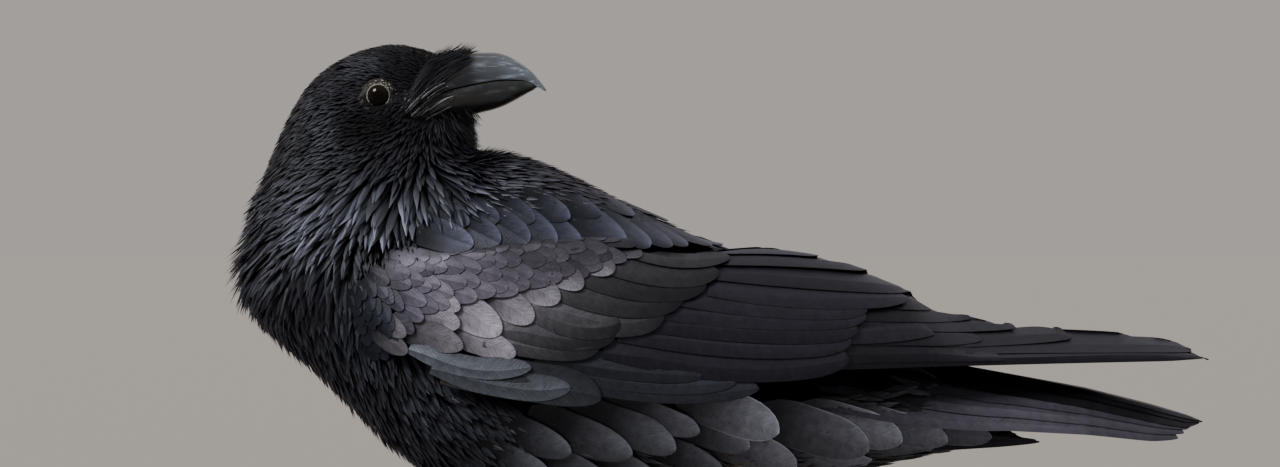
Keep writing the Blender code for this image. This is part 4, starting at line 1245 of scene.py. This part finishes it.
def lay_bristles(coat, vane, axis, width, tint):
    """Thin stiff hairs along rows of places: axis is (bristles, rows, 3)."""
    aim = unit(np.gradient(axis, axis=1))
    up = unit(RNG.normal(0.0, 1.0, (len(axis), 1, 3)))
    cross = unit(np.cross(aim, up))
    up = np.cross(cross, aim)
    steps = np.linspace(1.0, 0.0, vane.rows)[vane.row]
    half = width / 2 * (BRISTLE_TIP + (1 - BRISTLE_TIP) * steps) * vane.across
    points = axis[:, vane.row] + cross[:, vane.row] * half[None, :, None]
    points = points - up[:, vane.row] * (vane.under * width * BRISTLE_THICKNESS)[None, :, None]
    vane_uv = np.broadcast_to(np.stack([half / 10, steps], axis=1), (len(axis), len(half), 2))
    uneven = np.exp(RNG.normal(0.0, BRISTLE_SCATTER, (len(axis), 1, 1)))
    coat.add(vane, points, vane_uv, tint * uneven * np.ones((1, len(half), 1)), np.full((len(axis), 2), 0.5))


def lay_nose_bristles(coat, vane, t):
    """They sweep forward over the base of the upper bill, and stand up along its ridge."""
    start = RNG.uniform(*NOSE_ROOTS, (NOSE_BRISTLES, 1))
    length = RNG.uniform(*NOSE_LENGTHS, (NOSE_BRISTLES, 1))
    angle = RNG.uniform(0.1, math.pi - 0.1, (NOSE_BRISTLES, 1))
    ridge = np.exp(-(((angle - math.pi / 2) / NOSE_RIDGE) ** 2))
    loose = RNG.random((NOSE_BRISTLES, 1))
    lift = 0.2 + t * (0.4 + 0.9 * loose) + ridge * loose**2 * NOSE_STANDS * t**3
    swept = angle + (math.pi / 2 - angle) * NOSE_SWEEP * t
    axis = bill_points(start + length * t, swept, True, lift)
    lay_bristles(coat, vane, axis, NOSE_WIDTH, linear(NOSE_BLACK))


def lay_chin_bristles(coat, vane, t):
    """They hang from below the lower bill, and curve forward."""
    start = RNG.uniform(*CHIN_ROOTS, (CHIN_BRISTLES, 1))
    angle = RNG.uniform(0.5, math.pi - 0.5, (CHIN_BRISTLES, 1))
    root = bill_points(start, angle, False, -0.4)
    forward = 0.45 + 0.25 * RNG.random(CHIN_BRISTLES)
    hang = np.stack([forward, RNG.normal(0, 0.25, CHIN_BRISTLES), -np.ones(CHIN_BRISTLES)], axis=1)
    length = RNG.uniform(*CHIN_LENGTHS, (CHIN_BRISTLES, 1, 1))
    curve = np.stack([0 * t, 0 * t, 0.25 * t**2], axis=-1)
    axis = root + length * (unit(hang)[:, None] * t[:, :, None] + curve)
    lay_bristles(coat, vane, axis, CHIN_WIDTH, linear(CHIN_BLACK))


def lay_gape_bristles(coat, vane, t):
    """They run back over the corner of the mouth; some are pale, as the folds of bare skin there are."""
    start = RNG.uniform(*GAPE_ROOTS, (GAPE_BRISTLES, 1))
    length = RNG.uniform(*GAPE_LENGTHS, (GAPE_BRISTLES, 1))
    near = np.abs(RNG.normal(0.0, 0.35, (GAPE_BRISTLES, 1)))
    angle = np.where(RNG.random((GAPE_BRISTLES, 1)) < 0.5, near, math.pi - near)
    upper = RNG.random(GAPE_BRISTLES) < 0.4
    for half in (True, False):
        of_half = upper == half
        at = bill_points(start[of_half] - length[of_half] * t, angle[of_half], half, 0.25 + 0.5 * t)
        at[:, :, 2] -= 0.3 * length[of_half] * t**1.5
        pale = RNG.random((of_half.sum(), 1, 1)) < GAPE_GREY_SHARE
        lay_bristles(coat, vane, at, GAPE_WIDTH, np.where(pale, linear(GAPE_GREY), linear(GAPE_BLACK)))


def make_bristles():
    coat, vane = Coat(), Vane(BRISTLE_POINTS)
    t = np.linspace(0.0, 1.0, vane.rows)[None]
    for lay in (lay_nose_bristles, lay_chin_bristles, lay_gape_bristles):
        lay(coat, vane, t)
    return coat.mesh("bristles")


def eye_frame(axis):
    """Two directions across an eye's axis: forwards and upwards."""
    forward = unit(np.cross(UP, axis) * (1 if axis[1] < 0 else -1))
    return forward, np.cross(axis, forward) * (1 if axis[1] < 0 else -1)


def make_eyeball(name, centre, axis):
    bm = bmesh.new()
    bmesh.ops.create_uvsphere(bm, u_segments=EYE_SEGMENTS, v_segments=EYE_SEGMENTS, radius=EYE_RADIUS)
    turn = Vector((0, 0, 1)).rotation_difference(Vector(axis)).to_matrix()
    bmesh.ops.rotate(bm, verts=bm.verts, matrix=turn)
    bmesh.ops.translate(bm, verts=bm.verts, vec=Vector(centre))
    at = np.array([vertex.co[:] for vertex in bm.verts]) - centre
    obj = add_bmesh(name, bm, MM)
    ahead = at @ axis
    aside = np.linalg.norm(at - ahead[:, None] * axis, axis=1)
    tint = np.where((aside < PUPIL)[:, None], linear(PUPIL_BLACK), linear(IRIS_BROWN))
    tint = np.where(((aside > IRIS) | (ahead < 0))[:, None], linear(EYE_BLACK), tint)
    colour_points(obj.data, tint)
    return obj


def make_eye_ring(name, centre, axis):
    """The pale, beaded edge of the lids."""
    forward, up = eye_frame(axis)
    depth = math.sqrt(EYE_RADIUS**2 - RING_RADIUS**2) + RING_OUT
    rings = []
    for turn in turns(AROUND_EYE):
        out = forward * math.cos(turn) + up * math.sin(turn)
        thick = RING_THICKNESS * (1 + 0.16 * math.sin(turn * 31) + 0.14 * math.sin(turn * 17 + 1.0))
        middle = centre + axis * depth + out * RING_RADIUS
        rings.append([middle + thick * (out * math.cos(a) + axis * math.sin(a)) for a in turns(RING_POINTS)])
    bm = bmesh.new()
    loft(bm, rings, joined=True)
    return finish_loft(bm, name)


def make_lids(name, centre, axis, surface):
    """Bare folded skin round the eye, from the ring out to where the feathers begin."""
    forward, up = eye_frame(axis)
    angle = turns(AROUND_EYE)
    out = forward * np.cos(angle)[:, None] + up * np.sin(angle)[:, None]
    depth = math.sqrt(EYE_RADIUS**2 - RING_RADIUS**2)
    upper = np.clip(0.4 + 0.6 * np.sin(angle + 0.5), 0.06, 1.0)  # the folds are deeper above the eye
    rows, tints = [], []
    for share in np.linspace(0.0, 1.0, LID_ROWS):
        reach = RING_RADIUS + (LID_REACH - RING_RADIUS) * share
        flat = centre + axis * depth + out * reach
        at, normal, _ = surface.nearest(flat)
        blend = np.clip(share * 2.2, 0.0, 1.0) ** 1.2
        base = flat * (1 - blend) + (at - normal * LID_SUNK) * blend
        wave = reach + 0.35 * np.sin(angle * 5) + 0.2 * np.sin(angle * 11 + 1)
        fold = np.sin(2 * math.pi * wave / LID_FOLD) * np.sin(share * math.pi) ** 0.5
        beads = np.clip(np.sin(angle * 19 + 9 * share) + np.sin(angle * 31 - 14 * share), 0.0, 1.0)
        rows.append(base + axis * (LID_HEIGHT * upper * fold * (0.6 + 0.4 * beads))[:, None])
        # pale: flecks on the crests of the folds above the eye, partly the skin's own and partly a painted
        # highlight of the light from above.
        pale = np.clip(fold * 1.6, 0.0, 1.0) * upper**3 * beads * (share < 0.8)
        tints.append(linear(LID_BLACK)[None] + pale[:, None] * linear(LID_FLECK_HIGHLIGHT)[None])
    bm = bmesh.new()
    loops = [[bm.verts.new(tuple(point)) for point in row] for row in rows]
    for near, far in zip(loops, loops[1:]):
        for i in range(AROUND_EYE):
            j = (i + 1) % AROUND_EYE
            corners = (near[i], near[j], far[j], far[i])
            bm.faces.new(corners if axis[1] > 0 else (near[i], far[i], far[j], near[j]))
    bmesh.ops.recalc_face_normals(bm, faces=bm.faces)
    obj = add_bmesh(name, bm, MM)
    colour_points(obj.data, np.concatenate(tints))
    return obj


def make_shank(name, side):
    """The scaled leg from the ankle to the foot, with broad scutes down its front."""
    rings = []
    for share in np.linspace(0.0, 1.0, SCUTES * SCUTE_RINGS):
        height = ANKLE[1] * (1 - share) + PAD_RADIUS * share
        centre = np.array([FOOT_X + ANKLE[0] * (1 - share), side * LEG_SPREAD, height])
        radius = SHANK_RADIUS * (1 + SHANK_SWELL * (2 * share - 1) ** 4)
        scute = (share * SCUTES) % 1.0
        ring = []
        for turn in turns(SHANK_POINTS):
            front = max(0.0, -math.cos(turn)) ** 0.5
            scales = SIDE_SCALES * (1 - front) * abs(math.sin(turn * 4))
            r = radius * (1 + SCUTE_STEP * front * (scute - 0.4) - scales)
            ring.append(centre + np.array([r * SHANK_DEEPER * math.cos(turn), r * math.sin(turn), 0.0]))
        rings.append(ring)
    bm = bmesh.new()
    loft(bm, rings)
    return finish_loft(bm, name, 50.0)


def bearing_vector(bearing, side):
    """A level unit vector at an angle from straight ahead, which is -X, and positive towards the middle."""
    angle = math.radians(bearing)
    return np.array([-math.cos(angle), -side * math.sin(angle), 0.0])


def toe_rings(base, ahead, length, thick):
    right = np.cross(ahead, UP)
    count = round(length / TOE_SCUTE)
    rings = []
    for share in np.linspace(0.0, 1.0, count * TOE_RINGS):
        radius = thick * (1 - TOE_NARROWS * share) * (1 + TOE_KNUCKLES * math.cos(6 * math.pi * share))
        lift = TOE_LIFT * max(0.0, (share - TOE_LIFT_FROM) / (1 - TOE_LIFT_FROM)) ** 2
        centre = base + ahead * (TOE_ROOT + length * share) + UP * (TOE_ABOVE * radius + lift)
        radius *= 1 - TOE_END * max(0.0, share - TOE_END_FROM) / (1 - TOE_END_FROM)
        scute = (share * count) % 1.0
        ring = []
        for turn in turns(TOE_POINTS):
            top = max(0.0, math.sin(turn)) ** 0.5
            pads = max(0.0, -math.sin(turn)) * TOE_PADS * math.sin(turn * 9 + share * 60)
            r = radius * (1 + TOE_STEP * top * (0.5 - scute) + pads)
            ring.append(centre + right * r * math.cos(turn) + UP * r * math.sin(turn))
        rings.append(ring)
    return rings


def make_foot(name, side):
    """A foot of four toes with padded undersides and rows of scutes on top, flat where it meets the floor."""
    bm = bmesh.new()
    base = np.array([FOOT_X, side * LEG_SPREAD, 0.0])
    pad = bmesh.ops.create_uvsphere(bm, u_segments=28, v_segments=18, radius=PAD_RADIUS)["verts"]
    bmesh.ops.translate(bm, verts=pad, vec=(*base[:2], PAD_Z))
    for _, bearing, length, thick, _ in TOES:
        loft(bm, toe_rings(base, bearing_vector(bearing, side), length, thick))
    for vertex in bm.verts:
        vertex.co.z = max(vertex.co.z, FLOOR_GAP)
    return finish_loft(bm, name, 50.0)


def make_claw(name, side, bearing, length, size):
    ahead = bearing_vector(bearing, side)
    right = np.cross(ahead, UP)
    root = np.array([FOOT_X, side * LEG_SPREAD, 0.0]) + ahead * (TOE_ROOT + length + CLAW_OUT)
    root = root + UP * CLAW_Z * size**0.9
    lean = ahead * math.sin(CLAW_FROM) + UP * math.cos(CLAW_FROM)
    rings = []
    for share in np.linspace(0.0, 1.0, CLAW_RINGS):
        angle = CLAW_FROM + (CLAW_TO - CLAW_FROM) * share
        normal = ahead * math.sin(angle) + UP * math.cos(angle)
        radius = CLAW_RADIUS * (1 - share) ** CLAW_NARROW + CLAW_TIP
        rings.append([
            root + (normal - lean) * CLAW_CURVE * size
            + right * radius * CLAW_NARROW * math.cos(turn) + normal * radius * math.sin(turn)
            for turn in turns(CLAW_POINTS)
        ])
    bm = bmesh.new()
    loft(bm, rings)
    return finish_loft(bm, name, 70.0)


# ---------------------------------------------------------------- materials


def feed(node, inputs):
    """Sets a node's inputs to values, or links them from sockets or from the first outputs of other nodes."""
    for name, value in inputs.items():
        value = value.outputs[0] if isinstance(value, bpy.types.Node) else value
        if isinstance(value, bpy.types.NodeSocket):
            node.id_data.links.new(value, node.inputs[name])
        else:
            node.inputs[name].default_value = value


def add(tree, kind, inputs=(), **settings):
    """Adds a shader node with its settings and its inputs."""
    made = tree.nodes.new("ShaderNode" + kind)
    for name, value in settings.items():
        setattr(made, name, value)
    feed(made, dict(inputs))
    return made


def rgba(hex_colour):
    return (*linear(hex_colour), 1.0)


def new_material(name, **values):
    made = bpy.data.materials.new(name)
    made.use_nodes = True
    shader = made.node_tree.nodes["Principled BSDF"]
    for socket, value in values.items():
        shader.inputs[socket.replace("_", " ")].default_value = value
    return made, made.node_tree, shader


def feather_material(name, roughness, metallic, barb_mm, barb_depth):
    """Keratin barbs locked into a vane: black melanin under a thin clear layer, so a soft blue-violet gloss.

    Real barbs are about 0.35 mm apart; they are drawn coarser, so that they show.
    """
    cool = (0.82, 0.86, 1.0, 1.0)
    made, tree, shader = new_material(
        name, Roughness=roughness, Metallic=metallic, Specular_Tint=cool, IOR=1.45, Specular_IOR_Level=0.45
    )
    tint = add(tree, "Attribute", attribute_name="tint", attribute_type="GEOMETRY")
    place = add(tree, "UVMap", uv_map="vane")  # across and along the vane, in centimetres
    parts = add(tree, "SeparateXYZ", {0: place})
    aside = add(tree, "Math", {0: parts}, operation="ABSOLUTE")
    slant = add(tree, "Math", {0: aside, 1: -1.3, 2: parts.outputs[1]}, operation="MULTIPLY_ADD")
    phase = add(tree, "Math", {0: slant, 1: 2 * math.pi * 10 / barb_mm}, operation="MULTIPLY")
    barbs = add(tree, "Math", {0: phase}, operation="SINE")
    where = add(tree, "TexCoord")
    # Mottling of about 4 mm, and streaks along the barbs
    mottle = add(tree, "TexNoise", {"Vector": where.outputs["Object"], "Scale": 240.0, "Detail": 3.0})
    streak_at = add(tree, "CombineXYZ", {0: aside, 1: slant})
    streak_map = add(tree, "Mapping", {"Vector": streak_at, "Scale": (1.5, 9.0, 1.0)})
    streaks = add(tree, "TexNoise", {"Vector": streak_map, "Scale": 2.0, "Detail": 2.0})
    blend = add(tree, "Math", {0: streaks, 1: 1.5, 2: -0.2}, operation="MULTIPLY_ADD")
    uneven = add(tree, "Math", {0: mottle, 1: 0.8, 2: blend}, operation="MULTIPLY_ADD")
    scaled = add(tree, "VectorMath", {0: tint, "Scale": uneven}, operation="SCALE")
    least, most = roughness - 0.07, roughness + 0.09
    spread = {"Value": streaks, "From Min": 0.3, "From Max": 0.7, "To Min": least, "To Max": most}
    rough = add(tree, "MapRange", spread)
    height = add(tree, "Math", {0: streaks, 1: 1.2, 2: barbs}, operation="MULTIPLY_ADD")
    bump = add(tree, "Bump", {"Height": height, "Strength": 0.5, "Distance": barb_depth * MM})
    feed(shader, {"Base Color": scaled, "Roughness": rough, "Normal": bump})
    return made


def skin_material():
    """Dark skin in the down's shadow between the feathers: dull, near black."""
    values = {"Roughness": 1.0, "Base_Color": rgba("060608"), "Specular_IOR_Level": 0.1}
    return new_material("dark_raven_skin", **values)[0]


def horn_material(name, root, tip, from_x, to_x):
    """Black-grey keratin, polished by use, paler towards the tip (on the upper bill partly a painted
    highlight), with fine flakes and scratches along it.
    """
    made, tree, shader = new_material(name, Roughness=0.3)
    where = add(tree, "TexCoord").outputs["Object"]
    parts = add(tree, "SeparateXYZ", {0: where})
    along = add(tree, "MapRange", {"Value": parts, "From Min": from_x * MM, "From Max": to_x * MM})
    # Scratches about 17 mm long and 2 mm apart, and blotches of 6 mm
    grain_at = add(tree, "Mapping", {"Vector": where, "Scale": (60.0, 500.0, 420.0)})
    grain = add(tree, "TexNoise", {"Vector": grain_at, "Scale": 1.0, "Detail": 4.0})
    blotch = add(tree, "TexNoise", {"Vector": where, "Scale": 180.0, "Detail": 5.0})
    base = add(tree, "Mix", {"Factor": along, "A": rgba(root), "B": rgba(tip)}, data_type="RGBA")
    light = add(tree, "Math", {0: grain, 1: 1.1, 2: 0.2}, operation="MULTIPLY_ADD")
    light = add(tree, "Math", {0: blotch, 1: 0.6, 2: light}, operation="MULTIPLY_ADD")
    flakes = add(tree, "MapRange", {"Value": grain, "From Min": 0.56, "From Max": 0.72, "To Max": 3.0})
    light = add(tree, "Math", {0: light, 1: flakes}, operation="ADD")
    scaled = add(tree, "VectorMath", {0: base.outputs[2], "Scale": light}, operation="SCALE")
    spread = {"Value": blotch, "From Min": 0.3, "From Max": 0.7, "To Min": 0.22, "To Max": 0.45}
    rough = add(tree, "MapRange", spread)
    height = add(tree, "Math", {0: blotch, 1: 0.8, 2: grain}, operation="MULTIPLY_ADD")
    bump = add(tree, "Bump", {"Height": height, "Strength": 0.5, "Distance": 0.2 * MM})
    feed(shader, {"Base Color": scaled, "Roughness": rough, "Normal": bump})
    return made


def painted_material(name, roughness, bump_mm, scale, gloss):
    """Moist or bare skin whose colour is painted on the mesh, with a fine uneven surface."""
    made, tree, shader = new_material(name, Roughness=roughness, Specular_IOR_Level=gloss)
    tint = add(tree, "Attribute", attribute_name="tint", attribute_type="GEOMETRY")
    feed(shader, {"Base Color": tint})
    if bump_mm:
        where = add(tree, "TexCoord").outputs["Object"]
        grain = add(tree, "TexNoise", {"Vector": where, "Scale": scale, "Detail": 3.0})
        bump = add(tree, "Bump", {"Height": grain, "Strength": 0.6, "Distance": bump_mm * MM})
        feed(shader, {"Normal": bump})
    return made


def pebbled_material(name, dark, pale, roughness, cell_mm):
    """Scaly skin: small flat-topped cells with dark joints between them, worn uneven in patches of 6 mm."""
    made, tree, shader = new_material(name, Roughness=roughness)
    where = add(tree, "TexCoord").outputs["Object"]
    cells = {"Vector": where, "Scale": 1000.0 / cell_mm}
    edges = add(tree, "TexVoronoi", cells, feature="DISTANCE_TO_EDGE")
    joint = add(tree, "MapRange", {"Value": edges, "From Min": 0.0, "From Max": 0.12})
    patches = add(tree, "TexNoise", {"Vector": where, "Scale": 160.0, "Detail": 4.0})
    amount = add(tree, "Math", {0: joint, 1: patches}, operation="MULTIPLY")
    base = add(tree, "Mix", {"Factor": amount, "A": rgba(dark), "B": rgba(pale)}, data_type="RGBA")
    bump = add(tree, "Bump", {"Height": joint, "Strength": 0.5, "Distance": 0.25 * MM})
    feed(shader, {"Base Color": base.outputs[2], "Normal": bump})
    return made


# ---------------------------------------------------------------- build


def make_camera():
    data = bpy.data.cameras.new("camera")
    data.sensor_width = 36.0
    data.lens = CAMERA_LENS
    camera = bpy.data.objects.new("camera", data)
    camera.location = (CAMERA_AIM[0] * MM, -CAMERA_DISTANCE_M, CAMERA_AIM[1] * MM)
    camera.rotation_euler = (math.pi / 2, 0.0, 0.0)
    bpy.context.scene.collection.objects.link(camera)
    bpy.context.scene.camera = camera


def make_studio():
    """A soft pale dome, brighter overhead, a broad sun from the upper left, and a wide floor."""
    world = bpy.data.worlds.new("studio")
    bpy.context.scene.world = world
    world.use_nodes = True
    tree = world.node_tree
    place = add(tree, "TexCoord")
    height = add(tree, "SeparateXYZ", {0: place.outputs["Generated"]}).outputs[2]
    spread = {"From Min": 0.05, "From Max": 0.9, "To Min": HORIZON_GLOW, "To Max": ZENITH_GLOW}
    glow = add(tree, "MapRange", {"Value": height, **spread})
    feed(tree.nodes["Background"], {"Color": rgba(HORIZON_GREY), "Strength": glow})
    bm = bmesh.new()
    bmesh.ops.create_grid(bm, x_segments=1, y_segments=1, size=FLOOR_HALF_M)
    floor = add_bmesh("floor", bm)
    look = new_material("matt_pale_floor", Roughness=0.9, Base_Color=rgba(FLOOR_GREY))[0]
    floor.data.materials.append(look)
    data = bpy.data.lights.new("sun", "SUN")
    data.energy = SUN_STRENGTH
    data.angle = SUN_SPREAD
    data.color = linear(SUN_COLOUR)
    sun = bpy.data.objects.new("sun", data)
    sun.rotation_euler = Vector(SUN_FROM).to_track_quat("Z", "Y").to_euler()
    bpy.context.scene.collection.objects.link(sun)


def dress_head(eyes, skin, feather):
    # The upper bill's pale tip colour is partly a painted highlight of the light on the hooked tip.
    upper_horn = horn_material("slate_grey_upper_bill_horn", "14171d", "565f6b", -128.0, -92.0)
    lower_horn = horn_material("black_lower_bill_horn", "17191c", "1b1f24", -125.0, -92.0)
    for name, upper, horn in (("bill_upper", True, upper_horn), ("bill_lower", False, lower_horn)):
        finish_piece(make_bill_half(f"{name}_horn", upper), horn, "bill_horn", name)
    finish_piece(make_bristles(), feather, "feathers", "nasal_tuft")
    wet = painted_material("wet_dark_brown_eye", 0.04, 0.0, 1.0, 0.12)
    bare_skin = painted_material("bare_wrinkled_lid_skin", 0.6, 0.1, 900.0, 0.25)
    pale = pebbled_material("pale_beaded_lid_edge", "3f3e3b", "97948d", 0.5, 0.5)
    axis = unit(eyes[0] - eyes[1])
    ahead = head_turned(np.array([1.0, 0.0, 0.0])) - head_turned(np.zeros(3))
    for name, centre, way in (("right", eyes[0], axis), ("left", eyes[1], -axis)):
        way = way * math.cos(EYE_FORWARD) + ahead * math.sin(EYE_FORWARD)
        finish_piece(make_eyeball(f"eyeball_{name}", centre, way), wet, "eye", f"eye_{name}")
        finish_piece(make_eye_ring(f"lid_edge_{name}", centre, way), pale, "eye")
        finish_piece(make_lids(f"lids_{name}", centre, way, skin), bare_skin, "eye")


def dress_legs():
    scales = pebbled_material("black_scaled_leg_skin", "0b0b0c", "2c2d30", 0.45, 1.6)
    horn = horn_material("black_claw_horn", "141416", "2a2b2e", -90.0, -130.0)
    for name, side in SIDES:
        finish_piece(make_shank(f"scaled_shank_{name}", side), scales, "leg_scales", f"shank_{name}")
        finish_piece(make_foot(f"scaled_foot_{name}", side), scales, "leg_scales", f"foot_{name}")
        for toe, bearing, length, _, size in TOES:
            claw = make_claw(f"claw_horn_{toe}_{name}", side, bearing, length, size)
            finish_piece(claw, horn, "claw_horn", f"claw_{toe}_{name}")


def bare(places, eyes, bill_face):
    """Where no small feather grows: under the folded wing, on the bill and on the eyelids."""
    x, away, z = places[:, 0], np.abs(places[:, 1]), places[:, 2]
    found = inside_outline(places, WING_OUTLINE) & (away > BARE_WING_FROM)
    found |= inside_outline(places, SCAPULAR_OUTLINE) & (away > BARE_SCAPULARS_FROM)
    found |= np.linalg.norm(bill_face.nearest(places)[0] - places, axis=1) < BARE_BILL_NEAR
    found |= inside_outline(places, GAPE_OUTLINE) | (x > BARE_BODY_FROM)
    found |= (x > BARE_BILL_FROM[0]) & (z > BARE_BILL_FROM[1])
    for centre in eyes:
        found |= np.linalg.norm(places - centre - LID_SHIFT, axis=1) < LID_BARE
    return found


def dress_body(skin, eyes, feather, fine):
    """The small feathers of the head, of the neck and breast, and of the body."""
    bm = copy_of(*FACE)
    corners = np.array([[vertex.index for vertex in face.verts] for face in bm.faces])
    bill_face = Surface(np.array([vertex.co[:] for vertex in bm.verts]), corners)
    bm.free()
    roots, found, values = scattered(skin, lambda places: ~bare(places, eyes, bill_face), PLACES)
    head = (roots[:, 2] > HEAD_FROM) & (roots[:, 0] < HEAD_TO)
    fore = ~head & (roots[:, 0] < FORE_TO)
    for name, mask, shape, look, bow in (
        ("coat_head", head, POINTED, fine, FACE_BOW),
        ("coat_neck_breast", fore, LANCE, feather, BODY_BOW),
        ("coat_body", ~head & ~fore, LANCE, feather, BODY_BOW),
    ):
        coat = Coat()
        picked = tuple(part[mask] for part in values)
        small_feathers(coat, shape, skin, roots[mask], found[mask], picked, bow)
        finish_piece(coat.mesh(name), look, "feathers")


def in_lesser_zone(places):
    return inside_outline(places, LESSER_ZONE) & (np.abs(places[:, 1]) > BARE_WING_FROM)


def lay_lesser_coverts(coats, wide, skin):
    """The small scales round the wrist of both wings, from front to back."""
    vane = Vane(LESSER_POINTS, BROAD, ridged=False)
    roots, _, (lie, sizes, tints) = scattered(skin, in_lesser_zone, WING_PLACES)
    steps = eased(vane.rows)
    for i in np.argsort(roots[:, 0]):
        side = 1.0 if roots[i, 1] > 0 else -1.0
        aim = lie[i] + np.array([0, 0, RNG.normal(0, LESSER_SCATTER)])
        edge, place = [], roots[i]
        for k, share in enumerate(steps):
            if k:
                place = place + unit(aim) * sizes[i, 0] * (share - steps[k - 1])
            at, normal, _ = wide.nearest(np.array([place]))
            place = at[0]
            aim = aim - (aim * normal[0]).sum() * normal[0]
            edge.append(place)
        colour = tints[i] * math.exp(RNG.normal(0.0, COLOUR_SCATTER))
        edge, width, root_uv = np.array(edge), sizes[i, 1], skin.root_uv(roots[i])
        big_feather(coats[side], vane, wide, edge, side, width, LESSER_STYLE, LESSER_HEIGHTS, colour, root_uv)


def dress_wings_and_tail(wide, skin, flight):
    sheets = {}
    for _, side in SIDES:
        sheets["wing", side] = wing_sheet(side)
        sheets["shoulder", side] = body_sheet(wide, side, *SHOULDER_SHEET)
        sheets["flank", side] = body_sheet(skin, side, *FLANK_SHEET)
    coats = {side: Coat() for _, side in SIDES}
    lay_lesser_coverts(coats, wide, skin)
    for name, side in SIDES:
        for row in ROWS:
            lay_row(coats[side], row, sheets[row.sheet, side], side, skin)
        piece = coats[side].mesh(f"wing_feathers_{name}")
        finish_piece(piece, flight, "flight_feathers", f"wing_{name}")
    tail = Coat()
    lay_tail(tail, skin)
    finish_piece(tail.mesh("tail_feathers"), flight, "flight_feathers", "tail")


def main():
    make_camera()
    make_studio()
    form = make_form(WING_FLESH_END)
    whole = make_form(WING_END)
    wide = Surface(mesh_array(whole.data.vertices, "co", 3), corners_of(whole.data, 4))
    bpy.data.objects.remove(whole)
    skin = make_skin(form)
    finish_piece(form, skin_material(), "feathers", *FLESH)
    feather = feather_material("black_raven_feather", 0.46, 0.55, 0.9, 0.04)
    fine = feather_material("fine_black_face_feather", 0.55, 0.4, 0.45, 0.01)
    flight = feather_material("glossy_flight_feather", 0.4, 0.6, 1.0, 0.04)
    eyes = [np.array(sum(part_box(name), Vector()) / 2) / MM for name in ("eye_right", "eye_left")]
    dress_body(skin, eyes, feather, fine)
    dress_head(eyes, skin, fine)
    dress_legs()
    dress_wings_and_tail(wide, skin, flight)


main()
